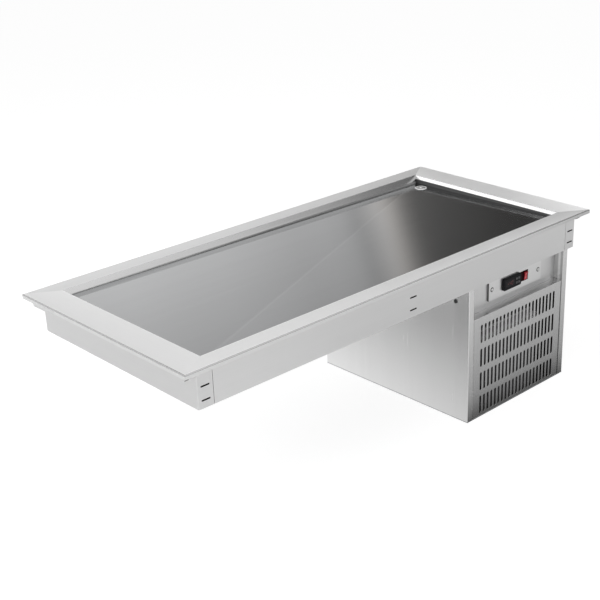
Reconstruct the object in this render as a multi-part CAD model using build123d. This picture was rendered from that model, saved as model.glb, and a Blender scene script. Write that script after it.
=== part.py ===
from build123d import *
import os
from math import cos, hypot, radians, sin, tan

os.makedirs("parts", exist_ok=True)

# Drop-in cold plate: a rimmed, refrigerated plate that hangs in a worktop cut-out, with its
# condensing unit in a housing under the right-hand end.
# Millimetres. X runs along the long sides, Y to the back, Z up. The origin is the centre of
# the plane in which the hem of the rim rests on the worktop.

# Sheet metal and the gaps between pieces
SHEET = 1.2
BUTT_GAP = 0.3
HOLE_GAP = 0.3
FOAM_GAP = 0.5
SHAFT_GAP = 0.05
SLIDE_GAP = 0.3
SMALL_SIDES = 8
HEAD_SIDES = 12
BARREL_SIDES = 24
COLLAR_SIDES = 32
SCREW_CHAMFER = 1.0
TUBE_SIDES = 6
HOLE_SIDES = 6
ELBOW_SIDES = 16

# Rim
RIM_LENGTH = 1470.0
RIM_WIDTH = 665.0
END_BAND = 84.0
SIDE_BAND = 55.0
LIP = 12.0
HEM = 12.0
WALL_DROP = 36.0
LIP_BEND = 3.0
WELL_BEND = 2.0
STIFFENER_INSET = 14.0
STIFFENER_WIDTH = 15.0
STIFFENER_DROP = 30.0
STIFFENER_END = 22.0
STIFFENER_ROUND = 8.0

# Plate and drain
PLATE = 1.5
PLATE_GAP = 0.2
WELL_DEPTH = 16.0
PLATE_FALL = 8.0
DRAIN_FROM_END = 35.5
DRAIN_FROM_BACK = 55.0
DRAIN_SINK = 1.0
DRAIN_FLANGE_RADIUS = 19.0
DRAIN_FLANGE = 2.5
DRAIN_TAIL_RADIUS = 13.0
DRAIN_BORE_RADIUS = 10.5
DRAIN_TAIL_BELOW = 34.0
STRAINER = 1.0
STRAINER_LEDGE = 4.0
STRAINER_HOLE_RADIUS = 1.6
STRAINER_HOLES = 8
BRIDGE_WIDTH = 8.0
BRIDGE_HEIGHT = 6.0
DRAIN_SCREW_RADIUS = 2.0
LOCKNUT_RADIUS = 22.0
LOCKNUT = 8.0
ELBOW_DROP = 52.0
ELBOW_WALL = 2.95
ELBOW_SOCKET = 24.0
ELBOW_OUTLET = 32.0
SPIGOT = 26.0
SPIGOT_RADIUS = 15.0

# Evaporator under the plate
TUBE_RADIUS = 4.75
TUBE_GAP = 0.3
PASSES = 8
PASS_FROM_SIDE = 77.5
PASS_FROM_END = 70.0
TAIL_FROM_END = 76.0
TAIL_BELOW = 30.0
TAIL_BEND = 14.0

# Tank
TANK_END_INSET = 44.0
TANK_SIDE_INSET = 20.0
TANK_DEPTH = 108.0
TANK_BEND = 3.0
END_FLANGE = 43.0
SEAM = 1.0
FIXING_SLOT = 25.0
FIXING_SLOT_HEIGHT = 4.0
FIXING_SLOT_DEPTH = 53.5
FIXING_SLOT_PITCH = 34.5
FIXING_POCKET = 20.0

# Housing of the condensing unit
HOUSING_FROM_END = 27.0
HOUSING_WIDTH = 442.0
HOUSING_FROM_BACK = 53.5
HOUSING_HEIGHT = 400.0
POST = 21.0
POST_BEND = 2.0
RECESS = 31.0
SHELF_DROP = 92.0
RECESS_SKIRT = 24.0
BASE = 2.0
BASE_FLANGE = 25.0
GRILLE_BACKSET = 1.5
GRILLE_GAP = 0.8
GRILLE_RETURN = 14.0
GRILLE_MARGIN = 28.0
GRILLE_PITCH_X = 16.4
GRILLE_PITCH_Z = 73.0
GRILLE_SLOT = 55.0
GRILLE_SLOT_WIDTH = 7.0
GRILLE_LOWEST = 37.5
VENT_ROWS = 7
VENT_PITCH = 26.0
VENT_LENGTH = 300.0
VENT_WIDTH = 8.0
VENT_LOWEST = 60.0
SIDE_SCREW_RADIUS = 6.0
SIDE_SCREW_HEAD = 3.0
SIDE_SCREW_SHANK = 2.4
SIDE_SCREW_LENGTH = 10.0
SIDE_SCREW_DROP = 41.0
SIDE_FLANGE = 32.0

# Controls in the recess
CONTROL_WIDTH = 236.0
CONTROL_HEIGHT = 65.0
CONTROL_SHEET = 1.5
CONTROL_PROUD = 5.0
CONTROL_OFFSET = 11.0
CONTROL_DROP = 40.0
CONTROL_SCREW_INSET = 14.0
CONTROL_SCREW_RADIUS = 5.0
CONTROL_SCREW_HEAD = 2.6
CONTROL_SCREW_SHANK = 1.9
CONTROL_SCREW_LENGTH = 12.0
THERMOSTAT_OFFSET = -21.0
THERMOSTAT_WIDTH = 77.0
THERMOSTAT_HEIGHT = 36.0
THERMOSTAT_PROUD = 8.0
THERMOSTAT_CORNER = 5.0
THERMOSTAT_BEVEL = 1.5
THERMOSTAT_BODY_WIDTH = 70.5
THERMOSTAT_BODY_HEIGHT = 28.5
THERMOSTAT_BODY_DEPTH = 58.0
LENS_WIDTH = 42.0
LENS_HEIGHT = 20.0
LENS = 1.2
LENS_OFFSET = -10.5
BUTTON_WIDTH = 8.0
BUTTON_HEIGHT = 7.0
BUTTON_LENGTH = 6.0
BUTTON_PROUD = 1.0
BUTTON_BEVEL = 0.6
BUTTON_TRAVEL_ROOM = 1.0
BUTTON_OFFSET = 22.0
BUTTON_PITCH_X = 10.5
BUTTON_PITCH_Z = 12.0
SWITCH_OFFSET = 44.5
SWITCH_WIDTH = 22.0
SWITCH_HEIGHT = 30.0
SWITCH_PROUD = 2.0
SWITCH_BEVEL = 1.0
SWITCH_BODY_WIDTH = 18.8
SWITCH_BODY_HEIGHT = 26.8
SWITCH_BODY_DEPTH = 24.0
SWITCH_OPENING_WIDTH = 15.0
SWITCH_OPENING_HEIGHT = 24.2
SWITCH_POCKET = 13.0
ROCKER_WIDTH = 14.4
ROCKER_HALF = 10.8
ROCKER_END_PROUD = 2.3
ROCKER_MIDDLE_PROUD = 0.6
ROCKER_PIVOT_DEPTH = 3.5
ROCKER_BELLY = 6.0
ROCKER_PIN_RADIUS = 1.5
ROCKER_PIN = 1.4
ROCKER_TILT = 9.0

# Condensing unit
CONDENSER_GAP = 12.0
CONDENSER_SIDE_GAP = 36.0
CONDENSER_DEPTH = 55.0
CONDENSER_HEADROOM = 21.0
FIN_PITCH = 12.3
FIN = 2.2
FIN_REACH = 40.0
COND_TUBE_RADIUS = 4.0
COND_TUBE_BEND = 9.0
COND_ROWS = 6
SHROUD_DEPTH = 25.0
COLLAR_MARGIN = 14.0
COLLAR_LENGTH = 18.0
FAN_TIP_GAP = 7.0
FAN_HUB_RADIUS = 32.0
FAN_HUB_LENGTH = 26.0
FAN_BLADES = 5
FAN_BLADE = 2.0
FAN_ROOT_CHORD = 34.0
FAN_LEAD = 12.0
FAN_LAG = 30.0
FAN_PITCH = 24.0
MOTOR_RADIUS = 42.0
MOTOR_LENGTH = 60.0
MOTOR_GAP = 10.0
MOTOR_SHAFT_RADIUS = 4.0
MOTOR_SHAFT_IN_HUB = 18.0
BRACKET = 2.5
BRACKET_ARM_WIDTH = 16.0
BRACKET_LEG_RADIUS = 4.0
BRACKET_LEG_X = 140.0
BRACKET_LEG_Z = 98.0
COMPRESSOR_FROM_LEFT = 135.0
COMPRESSOR_FROM_BACK = 164.0
COMPRESSOR_RADIUS = 85.0
COMPRESSOR_HEIGHT = 205.0
COMPRESSOR_CONE = 42.0
COMPRESSOR_TAPER = 45.0
FOOT_PLATE = 3.0
FOOT_WIDTH = 210.0
FOOT_DEPTH = 150.0
FOOT_BOLT_X = 88.0
FOOT_BOLT_Y = 60.0
GROMMET_RADIUS = 12.0
GROMMET_HEIGHT = 18.0
FOOT_BOLT_RADIUS = 3.0
FOOT_BOLT_HEAD_RADIUS = 6.5
FOOT_BOLT_HEAD = 5.0
PORT_RADIUS = 6.0
PORT_REACH = 14.0
SUCTION_PORT_Y = 30.0
SUCTION_PORT_Z = 160.0
DISCHARGE_PORT_Y = -30.0
DISCHARGE_PORT_Z = 110.0
TERMINAL_COVER_DEPTH = 30.0
TERMINAL_COVER_WIDTH = 60.0
TERMINAL_COVER_HEIGHT = 70.0
TERMINAL_COVER_Z = 90.0
TERMINAL_COVER_BEVEL = 5.0
LINE_RADIUS = 4.0
LINE_BEND = 14.0
LINE_LANE = 15.0
CAPILLARY_RADIUS = 1.5
CAPILLARY_BEND = 8.0
DRIER_RADIUS = 14.0
DRIER_LENGTH = 120.0
DRIER_NECK = 16.0
DRIER_FROM_RIGHT = 66.0
DRIER_DROP = 184.0
BOX_FROM_PLATE = 4.0
BOX_DEPTH = 62.0
BOX_HEIGHT = 70.0
BOX_FROM_RIGHT = 22.0
BOX_GROOVE = 2.0
BOX_LID = 18.0
BLOCK_WIDTH = 90.0
BLOCK_DEPTH = 18.0
BLOCK_HEIGHT = 24.0
BLOCK_FROM_LEFT = 30.0
BLOCK_POLES = 6
GLAND_RADIUS = 10.0
GLAND_BORE_RADIUS = 4.5
GLAND_HEX_RADIUS = 14.0
GLAND_REACH = 22.0
GLAND_INSIDE = 14.0
GLAND_NUT = 5.0
GLAND_FROM_LEFT = 70.0
GLAND_DROP = 60.0

# Places that follow from the sizes
half_length = RIM_LENGTH / 2
half_width = RIM_WIDTH / 2
rim_under = LIP - SHEET
well_x = half_length - END_BAND
well_y = half_width - SIDE_BAND
wall_foot = LIP - WALL_DROP
plate_high = LIP - WELL_DEPTH
plate_low = plate_high - PLATE_FALL
plate_x = well_x - PLATE_GAP
plate_y = well_y - PLATE_GAP
drain_x = well_x - DRAIN_FROM_END
drain_y = well_y - DRAIN_FROM_BACK
tank_x = half_length - TANK_END_INSET
tank_y = half_width - TANK_SIDE_INSET
tank_bottom = LIP - TANK_DEPTH
tube_z = plate_low - PLATE - DRAIN_SINK - TUBE_GAP - TUBE_RADIUS
foam_floor = tube_z - TUBE_RADIUS - TUBE_GAP
tail_x = well_x - TAIL_FROM_END
tail_y = well_y - PASS_FROM_SIDE
pass_pitch = 2 * tail_y / (PASSES - 1)
tail_foot = tank_bottom - TAIL_BELOW
elbow_radius = DRAIN_TAIL_RADIUS + SHAFT_GAP + ELBOW_WALL
house_x1 = tank_x - HOUSING_FROM_END
house_x0 = house_x1 - HOUSING_WIDTH
house_mid = (house_x0 + house_x1) / 2
house_y0 = -tank_y
house_y1 = tank_y - HOUSING_FROM_BACK
house_top = tank_bottom
house_foot = house_top - HOUSING_HEIGHT
floor_z = house_foot + BASE
shelf_z = house_top - SHELF_DROP
recess_y = house_y0 + RECESS
control_x = house_mid + CONTROL_OFFSET
control_z = house_top - CONTROL_DROP
control_y = recess_y - CONTROL_PROUD
thermostat_x = control_x + THERMOSTAT_OFFSET
bezel_y = control_y - THERMOSTAT_PROUD
switch_x = control_x + SWITCH_OFFSET
switch_y = control_y - SWITCH_PROUD
pivot_y = switch_y + ROCKER_PIVOT_DEPTH
condenser_y0 = house_y0 + CONDENSER_GAP
condenser_y1 = condenser_y0 + CONDENSER_DEPTH
condenser_x0 = house_x0 + CONDENSER_SIDE_GAP
condenser_x1 = house_x1 - CONDENSER_SIDE_GAP
condenser_z0 = floor_z
condenser_z1 = shelf_z - RECESS_SKIRT - CONDENSER_HEADROOM
condenser_height = condenser_z1 - condenser_z0
shroud_y1 = condenser_y1 + SHROUD_DEPTH
fan_z = (condenser_z0 + condenser_z1) / 2
fan_y = shroud_y1 + COLLAR_LENGTH / 2
collar_radius = condenser_height / 2 - COLLAR_MARGIN
fan_radius = collar_radius - FAN_TIP_GAP
hub_back = fan_y + FAN_HUB_LENGTH / 2
motor_y0 = hub_back + MOTOR_GAP
motor_y1 = motor_y0 + MOTOR_LENGTH
compressor_x = house_x0 + COMPRESSOR_FROM_LEFT
compressor_y = house_y1 - COMPRESSOR_FROM_BACK
foot_z = floor_z + GROMMET_HEIGHT
shell_z = foot_z + FOOT_PLATE
lane_x = condenser_x1 + LINE_LANE + LINE_RADIUS


def block(x0, x1, y0, y1, z0, z1):
    """Box between two corners."""
    return Pos((x0 + x1) / 2, (y0 + y1) / 2, (z0 + z1) / 2) * Box(x1 - x0, y1 - y0, z1 - z0)


def rod(start, direction, radius, length):
    """Cylinder that starts at a point and runs along a direction."""
    plane = Plane(origin=start, z_dir=direction)
    return plane * Cylinder(radius, length, align=(Align.CENTER, Align.CENTER, Align.MIN))


def flatted(start, direction, radius, length, sides=SMALL_SIDES):
    """Bar with flats that stay inside a radius, for hidden or small rounds."""
    return extrude(Plane(origin=start, z_dir=direction) * RegularPolygon(radius, sides), length)


def flatted_hole(start, direction, radius, length, sides=SMALL_SIDES):
    """Bar with flats that stay outside a radius, mostly used as a cut."""
    outline = RegularPolygon(radius, sides, major_radius=False)
    return extrude(Plane(origin=start, z_dir=direction) * outline, length)


def canted_slot(length, width):
    """Slot outline whose round ends are three flats each, just outside the round."""
    flat = width / 2 * tan(radians(22.5))
    shoulder = length / 2 - width / 2 + flat
    half = [(shoulder, -width / 2), (length / 2, -flat), (length / 2, flat), (shoulder, width / 2)]
    return make_face(Polyline(*half, *[(-x, -y) for x, y in half], close=True))


def prism(points, direction, length):
    """Closed outline of points in space, pushed along a direction."""
    return extrude(make_face(Polyline(*points, close=True)), amount=length, dir=direction)


def edges_at(shape, axis, **place):
    """Edges that run along an axis, at the given X, Y or Z."""
    found = shape.edges().filter_by(axis)
    for letter, value in place.items():
        found = found.filter_by(lambda edge: abs(getattr(edge.center(), letter) - value) < 0.01)
    return found


def tube(points, radius, bend):
    """Six-sided tube along straight runs, with each corner cut off at the given distance."""
    points = [Vector(*point) for point in points]
    route = [points[0]]
    for before, corner, after in zip(points, points[1:], points[2:]):
        route.append(corner + (before - corner).normalized() * bend)
        route.append(corner + (after - corner).normalized() * bend)
    path = Polyline(*route, points[-1])
    section = Plane(origin=path @ 0, z_dir=path % 0) * RegularPolygon(radius, TUBE_SIDES)
    return sweep(section, path, transition=Transition.RIGHT)


def hex_bar(start, direction, radius, length):
    """Hexagonal bar, sized across its corners."""
    return flatted(start, direction, radius, length, 6)


def plate_z(x, y):
    """Top of the creased plate, which falls to its back right corner."""
    along = (x + plate_x) / (2 * plate_x)
    across = (y + plate_y) / (2 * plate_y)
    return plate_high - PLATE_FALL * min(along, across)


def rim_strip(length, band, end_band):
    """Folded strip with its outer edge on local X, mitred to the neighbouring bands."""
    section = [
        (0, 0),
        (HEM, 0),
        (HEM, SHEET),
        (SHEET, SHEET),
        (SHEET, rim_under),
        (band - SHEET, rim_under),
        (band - SHEET, wall_foot),
        (band, wall_foot),
        (band, LIP),
        (0, LIP),
    ]
    strip = prism([(-length / 2, y, z) for y, z in section], (1, 0, 0), length)
    strip = fillet(edges_at(strip, Axis.X, Y=0, Z=LIP), LIP_BEND)
    strip = fillet(edges_at(strip, Axis.X, Y=band, Z=LIP), WELL_BEND)
    mitre = [
        (-length / 2, 0, wall_foot),
        (length / 2, 0, wall_foot),
        (length / 2 - end_band, band, wall_foot),
        (-length / 2 + end_band, band, wall_foot),
    ]
    return strip & prism(mitre, (0, 0, 1), WALL_DROP)


def rim_stiffener():
    """Channel under the left end band, open towards the tank, with rounded lower ends."""
    outer = -half_length + STIFFENER_INSET
    inner = outer + STIFFENER_WIDTH
    end = half_width - STIFFENER_END
    low = LIP - STIFFENER_DROP
    solid = block(outer, inner, -end, end, low, rim_under)
    solid = fillet(edges_at(solid, Axis.X, Z=low), STIFFENER_ROUND)
    return solid - block(outer + SHEET, inner, -end, end, low + SHEET, rim_under - SHEET)


def cold_plate():
    """Plate folded along the diagonal to the drain, with a pressed seat for the drain flange."""
    near_left = (-plate_x, -plate_y)
    back_left = (-plate_x, plate_y)
    back_right = (plate_x, plate_y)
    near_right = (plate_x, -plate_y)
    seat = plate_z(drain_x, drain_y) - DRAIN_SINK
    seat_radius = DRAIN_FLANGE_RADIUS + HOLE_GAP

    def half(corners, shift, height):
        low = [Vector(x, y, plate_z(x, y) + shift) for x, y in corners]
        high = [point + Vector(0, 0, height) for point in low]
        sides = []
        for i in range(3):
            j = (i + 1) % 3
            sides.append(make_face(Polyline(low[i], low[j], high[j], high[i], close=True)).face())
        ends = [make_face(Polyline(*ring, close=True)).face() for ring in (low, high)]
        return Solid(Shell(sides + ends))

    def folded(shift, height):
        back = half([near_left, back_left, back_right], shift, height)
        front = half([near_left, back_right, near_right], shift, height)
        return Part() + back + front

    sheet = folded(-PLATE, PLATE)
    under = (drain_x, drain_y, seat - PLATE)
    cup = flatted_hole(under, (0, 0, 1), seat_radius + PLATE, DRAIN_SINK + 2 * PLATE, BARREL_SIDES)
    cup -= folded(0, 2 * PLATE_FALL)
    well = flatted_hole((drain_x, drain_y, seat), (0, 0, 1), seat_radius, 2 * PLATE_FALL, BARREL_SIDES)
    hole = flatted_hole(under, (0, 0, 1), DRAIN_TAIL_RADIUS + HOLE_GAP, PLATE, HEAD_SIDES)
    return sheet + cup - well - hole


def drain_flange():
    """Drain fitting: round flange, strainer ledge, tail and a bridge for the screw."""
    top = plate_z(drain_x, drain_y) - DRAIN_SINK + DRAIN_FLANGE
    foot = tank_bottom - DRAIN_TAIL_BELOW
    ledge = top - STRAINER
    up = (0, 0, 1)
    body = flatted((0, 0, top - DRAIN_FLANGE), up, DRAIN_FLANGE_RADIUS, DRAIN_FLANGE, COLLAR_SIDES)
    body += flatted((0, 0, foot), up, DRAIN_TAIL_RADIUS, top - foot, HEAD_SIDES)
    body -= flatted_hole((0, 0, ledge), up, DRAIN_BORE_RADIUS + STRAINER_LEDGE, STRAINER, BARREL_SIDES)
    bore = flatted_hole((0, 0, foot), up, DRAIN_BORE_RADIUS, top - foot, HEAD_SIDES)
    bore -= block(
        -DRAIN_TAIL_RADIUS, DRAIN_TAIL_RADIUS, -BRIDGE_WIDTH / 2, BRIDGE_WIDTH / 2,
        ledge - BRIDGE_HEIGHT, ledge - STRAINER,
    )
    body -= bore
    body -= flatted_hole((0, 0, foot), up, DRAIN_SCREW_RADIUS + SHAFT_GAP, top - foot)
    return Pos(drain_x, drain_y, 0) * body


def drain_strainer():
    """Perforated disc on the ledge of the drain flange."""
    top = plate_z(drain_x, drain_y) - DRAIN_SINK + DRAIN_FLANGE
    start = (0, 0, top - STRAINER)
    disc = flatted(start, (0, 0, 1), DRAIN_BORE_RADIUS + STRAINER_LEDGE - HOLE_GAP, STRAINER, BARREL_SIDES)
    disc -= flatted_hole(start, (0, 0, 1), DRAIN_SCREW_RADIUS + SHAFT_GAP, STRAINER)
    ring = DRAIN_BORE_RADIUS - 2 * STRAINER_HOLE_RADIUS
    for place in PolarLocations(ring, STRAINER_HOLES):
        disc -= place * flatted_hole(start, (0, 0, 1), STRAINER_HOLE_RADIUS, STRAINER, HOLE_SIDES)
    return Pos(drain_x, drain_y, 0) * disc


def drain_screw():
    """Screw that holds the strainer to the bridge."""
    top = plate_z(drain_x, drain_y) - DRAIN_SINK + DRAIN_FLANGE
    start = (drain_x, drain_y, top - BRIDGE_HEIGHT)
    shank = flatted(start, (0, 0, 1), DRAIN_SCREW_RADIUS, BRIDGE_HEIGHT)
    head = flatted((drain_x, drain_y, top), (0, 0, 1), 2 * DRAIN_SCREW_RADIUS, DRAIN_SCREW_RADIUS)
    return shank + head


def drain_locknut():
    """Hexagonal nut that clamps the drain tail under the tank."""
    start = (drain_x, drain_y, tank_bottom)
    nut = hex_bar(start, (0, 0, -1), LOCKNUT_RADIUS, LOCKNUT)
    return nut - flatted_hole(start, (0, 0, -1), DRAIN_TAIL_RADIUS + SHAFT_GAP, LOCKNUT, HEAD_SIDES)


def drain_elbow():
    """Elbow pushed on the drain tail, with its hose spigot out through the back of the housing."""
    top = tank_bottom - DRAIN_TAIL_BELOW + ELBOW_SOCKET
    corner_z = tank_bottom - ELBOW_DROP - elbow_radius
    end_y = house_y1 + ELBOW_OUTLET
    spigot_y = end_y - SPIGOT
    path = Polyline((drain_x, drain_y, top), (drain_x, drain_y, corner_z), (drain_x, spigot_y, corner_z))
    plane = Plane(origin=path @ 0, z_dir=path % 0)
    body = sweep(plane * RegularPolygon(elbow_radius, ELBOW_SIDES), path, transition=Transition.RIGHT)
    body += rod((drain_x, spigot_y, corner_z), (0, 1, 0), SPIGOT_RADIUS, SPIGOT)
    route = Polyline(path @ 0, (drain_x, drain_y, corner_z), (drain_x, end_y, corner_z))
    bore = RegularPolygon(DRAIN_TAIL_RADIUS + SHAFT_GAP, HEAD_SIDES, major_radius=False)
    return body - sweep(plane * bore, route, transition=Transition.RIGHT)


def evaporator_coil():
    """Serpentine tube under the plate, with its two tails down into the housing."""
    left = -well_x + PASS_FROM_END
    right = tail_x - TAIL_BEND
    points = [(tail_x, -tail_y, tail_foot), (tail_x, -tail_y, tube_z)]
    for i in range(PASSES):
        y = -tail_y + i * pass_pitch
        ends = [left, right] if i % 2 else [right, left]
        if i > 0:
            points.append((ends[0], y, tube_z))
        if i < PASSES - 1:
            points.append((ends[1], y, tube_z))
    points += [(tail_x, tail_y, tube_z), (tail_x, tail_y, tail_foot)]
    return tube(points, TUBE_RADIUS, TAIL_BEND)


def fixing_slots(x, y, direction, outline):
    """Pair of level slots, one above the other, cut through an upright sheet."""
    cuts = Part()
    for row in range(2):
        z = LIP - FIXING_SLOT_DEPTH - row * FIXING_SLOT_PITCH
        plane = Plane((x, y, z), x_dir=(1, 0, 0), z_dir=direction)
        cuts += extrude(plane * outline, amount=2 * SHEET, both=True)
    return cuts


def fixing_places():
    """Middles of the slot pairs along each long side."""
    return [-tank_x + END_FLANGE / 2, 0, tank_x - END_FLANGE / 2]


def foam_insulation():
    """Foam that fills the tank round and under the well."""
    x = tank_x - SHEET - FOAM_GAP
    y = tank_y - SHEET - FOAM_GAP
    solid = block(-x, x, -y, y, tank_bottom + SHEET, rim_under - FOAM_GAP)
    solid = chamfer(edges_at(solid, Axis.Z), TANK_BEND)
    inner_x = well_x + SHEET + FOAM_GAP
    inner_y = well_y + SHEET + FOAM_GAP
    solid -= block(-inner_x, inner_x, -inner_y, inner_y, foam_floor, LIP)
    tail = (drain_x, drain_y, tank_bottom)
    solid -= flatted_hole(tail, (0, 0, 1), DRAIN_TAIL_RADIUS + FOAM_GAP, TANK_DEPTH, HEAD_SIDES)
    for side in (-1, 1):
        bore = TUBE_RADIUS + FOAM_GAP
        solid -= flatted_hole((tail_x, side * tail_y, tank_bottom), (0, 0, 1), bore, TANK_DEPTH)
        solid -= block(
            tail_x - TAIL_BEND - bore, tail_x, side * tail_y - bore, side * tail_y + bore,
            tube_z - TAIL_BEND - bore, foam_floor,
        )
        for place in fixing_places():
            low = LIP - FIXING_SLOT_DEPTH - FIXING_SLOT_PITCH - FIXING_SLOT_HEIGHT
            high = LIP - FIXING_SLOT_DEPTH + FIXING_SLOT_HEIGHT
            half = FIXING_SLOT / 2 + FIXING_SLOT_HEIGHT
            inner = side * (y - FIXING_POCKET)
            outer = side * tank_y
            x0 = max(-x, place - half)
            x1 = min(x, place + half)
            solid -= block(x0, x1, min(inner, outer), max(inner, outer), low, high)
    return solid


def tank_end():
    """Left end of the tank, wrapped round onto both long sides."""
    inner = -tank_x + SHEET
    tip = -tank_x + END_FLANGE
    plan = [
        (tip, -tank_y),
        (tip, -tank_y + SHEET),
        (inner, -tank_y + SHEET),
        (inner, tank_y - SHEET),
        (tip, tank_y - SHEET),
        (tip, tank_y),
        (-tank_x, tank_y),
        (-tank_x, -tank_y),
    ]
    solid = prism([(x, y, tank_bottom) for x, y in plan], (0, 0, 1), rim_under - tank_bottom)
    solid = fillet(edges_at(solid, Axis.Z, X=-tank_x), TANK_BEND)
    outline = SlotOverall(FIXING_SLOT, FIXING_SLOT_HEIGHT)
    for side in (-1, 1):
        solid -= fixing_slots(fixing_places()[0], side * tank_y, (0, side, 0), outline)
    return solid


def tank_side():
    """Long front panel of the tank, between the flanges of the ends."""
    end = tank_x - END_FLANGE - SEAM
    solid = block(-end, end, -tank_y, -tank_y + SHEET, tank_bottom, rim_under)
    return solid - fixing_slots(0, -tank_y, (0, -1, 0), canted_slot(FIXING_SLOT, FIXING_SLOT_HEIGHT))


def tank_bottom_sheet():
    """Bottom of the tank, with the holes for the drain and the tube tails."""
    x = tank_x - SHEET - BUTT_GAP
    y = tank_y - SHEET - BUTT_GAP
    sheet = block(-x, x, -y, y, tank_bottom, tank_bottom + SHEET)
    sheet = chamfer(edges_at(sheet, Axis.Z), TANK_BEND)
    tail = (drain_x, drain_y, tank_bottom)
    sheet -= flatted_hole(tail, (0, 0, 1), DRAIN_TAIL_RADIUS + HOLE_GAP, SHEET, HEAD_SIDES)
    for side in (-1, 1):
        start = (tail_x, side * tail_y, tank_bottom)
        sheet -= flatted_hole(start, (0, 0, 1), TUBE_RADIUS + HOLE_GAP, SHEET)
    return sheet


def housing_base():
    """Floor of the housing, with upright flanges inside the side panels."""
    solid = block(house_x0, house_x1, house_y0, house_y1, house_foot, floor_z)
    y0 = recess_y + POST_BEND
    y1 = house_y1 - SHEET - BUTT_GAP
    for x in (house_x0 + SHEET + BUTT_GAP, house_x1 - 2 * SHEET - BUTT_GAP):
        solid += block(x, x + SHEET, y0, y1, floor_z, floor_z + BASE_FLANGE)
    for x, y in foot_places():
        solid -= flatted_hole((x, y, house_foot), (0, 0, 1), FOOT_BOLT_RADIUS + SHAFT_GAP, BASE)
    return solid


def side_screw_places():
    """Depths and height of the screws in each side panel, over the flanges behind it."""
    z = house_top - SIDE_SCREW_DROP
    front = recess_y + SHEET + SIDE_FLANGE / 2
    back = house_y1 - SHEET - SIDE_FLANGE / 2
    return [(front, z), (back, z)]


def side_flanges(y, way, foot):
    """Flanges inside both side panels, running from a wall at y, with holes for the side screws."""
    flanges = Part()
    for x in (house_x0 + SHEET + BUTT_GAP, house_x1 - 2 * SHEET - BUTT_GAP):
        end = y + way * SIDE_FLANGE
        flange = block(x, x + SHEET, min(y, end), max(y, end), foot, house_top)
        for screw_y, z in side_screw_places():
            flange -= flatted_hole((x, screw_y, z), (1, 0, 0), SIDE_SCREW_SHANK + SHAFT_GAP, SHEET)
        flanges += flange
    return flanges


def housing_side():
    """Left side panel: its front edge is folded round into a post and back into the recess."""
    x0 = house_x0
    inner = x0 + SHEET
    post = x0 + POST
    back = recess_y - BUTT_GAP
    plan = [
        (x0, house_y1),
        (x0, house_y0),
        (post, house_y0),
        (post, back),
        (post - SHEET, back),
        (post - SHEET, house_y0 + SHEET),
        (inner, house_y0 + SHEET),
        (inner, house_y1),
    ]
    solid = prism([(x, y, floor_z) for x, y in plan], (0, 0, 1), house_top - floor_z)
    solid = fillet(edges_at(solid, Axis.Z, X=x0, Y=house_y0), POST_BEND)
    solid = fillet(edges_at(solid, Axis.Z, X=post, Y=house_y0), POST_BEND)
    for y, z in side_screw_places():
        solid -= flatted_hole((x0, y, z), (1, 0, 0), SIDE_SCREW_SHANK + SHAFT_GAP, SHEET)
    return solid


def side_panel_screws():
    """Pan-headed screws through the top of both side panels, into the flanges behind."""
    screws = []
    for x, way in ((house_x0, 1), (house_x1, -1)):
        for y, z in side_screw_places():
            head = flatted((x, y, z), (-way, 0, 0), SIDE_SCREW_RADIUS, SIDE_SCREW_HEAD)
            head = chamfer(head.faces().sort_by(Axis.X)[0 if way > 0 else -1].edges(), SCREW_CHAMFER)
            shank = flatted((x, y, z), (way, 0, 0), SIDE_SCREW_SHANK, SIDE_SCREW_LENGTH)
            screws.append(head + shank)
    return screws


def housing_rear():
    """Back panel with level air slots and holes for the drain and the cable gland."""
    x0 = house_x0 + SHEET + BUTT_GAP
    x1 = house_x1 - SHEET - BUTT_GAP
    solid = block(x0, x1, house_y1 - SHEET, house_y1, floor_z, house_top)
    solid += side_flanges(house_y1 - SHEET, -1, floor_z + BASE_FLANGE + BUTT_GAP)
    for row in range(VENT_ROWS):
        z = house_foot + VENT_LOWEST + row * VENT_PITCH
        slot = Plane((house_mid, house_y1, z), x_dir=(1, 0, 0), z_dir=(0, -1, 0))
        solid -= extrude(slot * canted_slot(VENT_LENGTH, VENT_WIDTH), amount=2 * SHEET, both=True)
    axis_z = tank_bottom - ELBOW_DROP - elbow_radius
    outlet = (drain_x, house_y1 - SHEET, axis_z)
    solid -= flatted_hole(outlet, (0, 1, 0), elbow_radius + HOLE_GAP, SHEET, HEAD_SIDES)
    gland = (house_x0 + GLAND_FROM_LEFT, house_y1 - SHEET, house_top - GLAND_DROP)
    return solid - flatted_hole(gland, (0, 1, 0), GLAND_RADIUS + SHAFT_GAP, SHEET, HEAD_SIDES)


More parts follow.
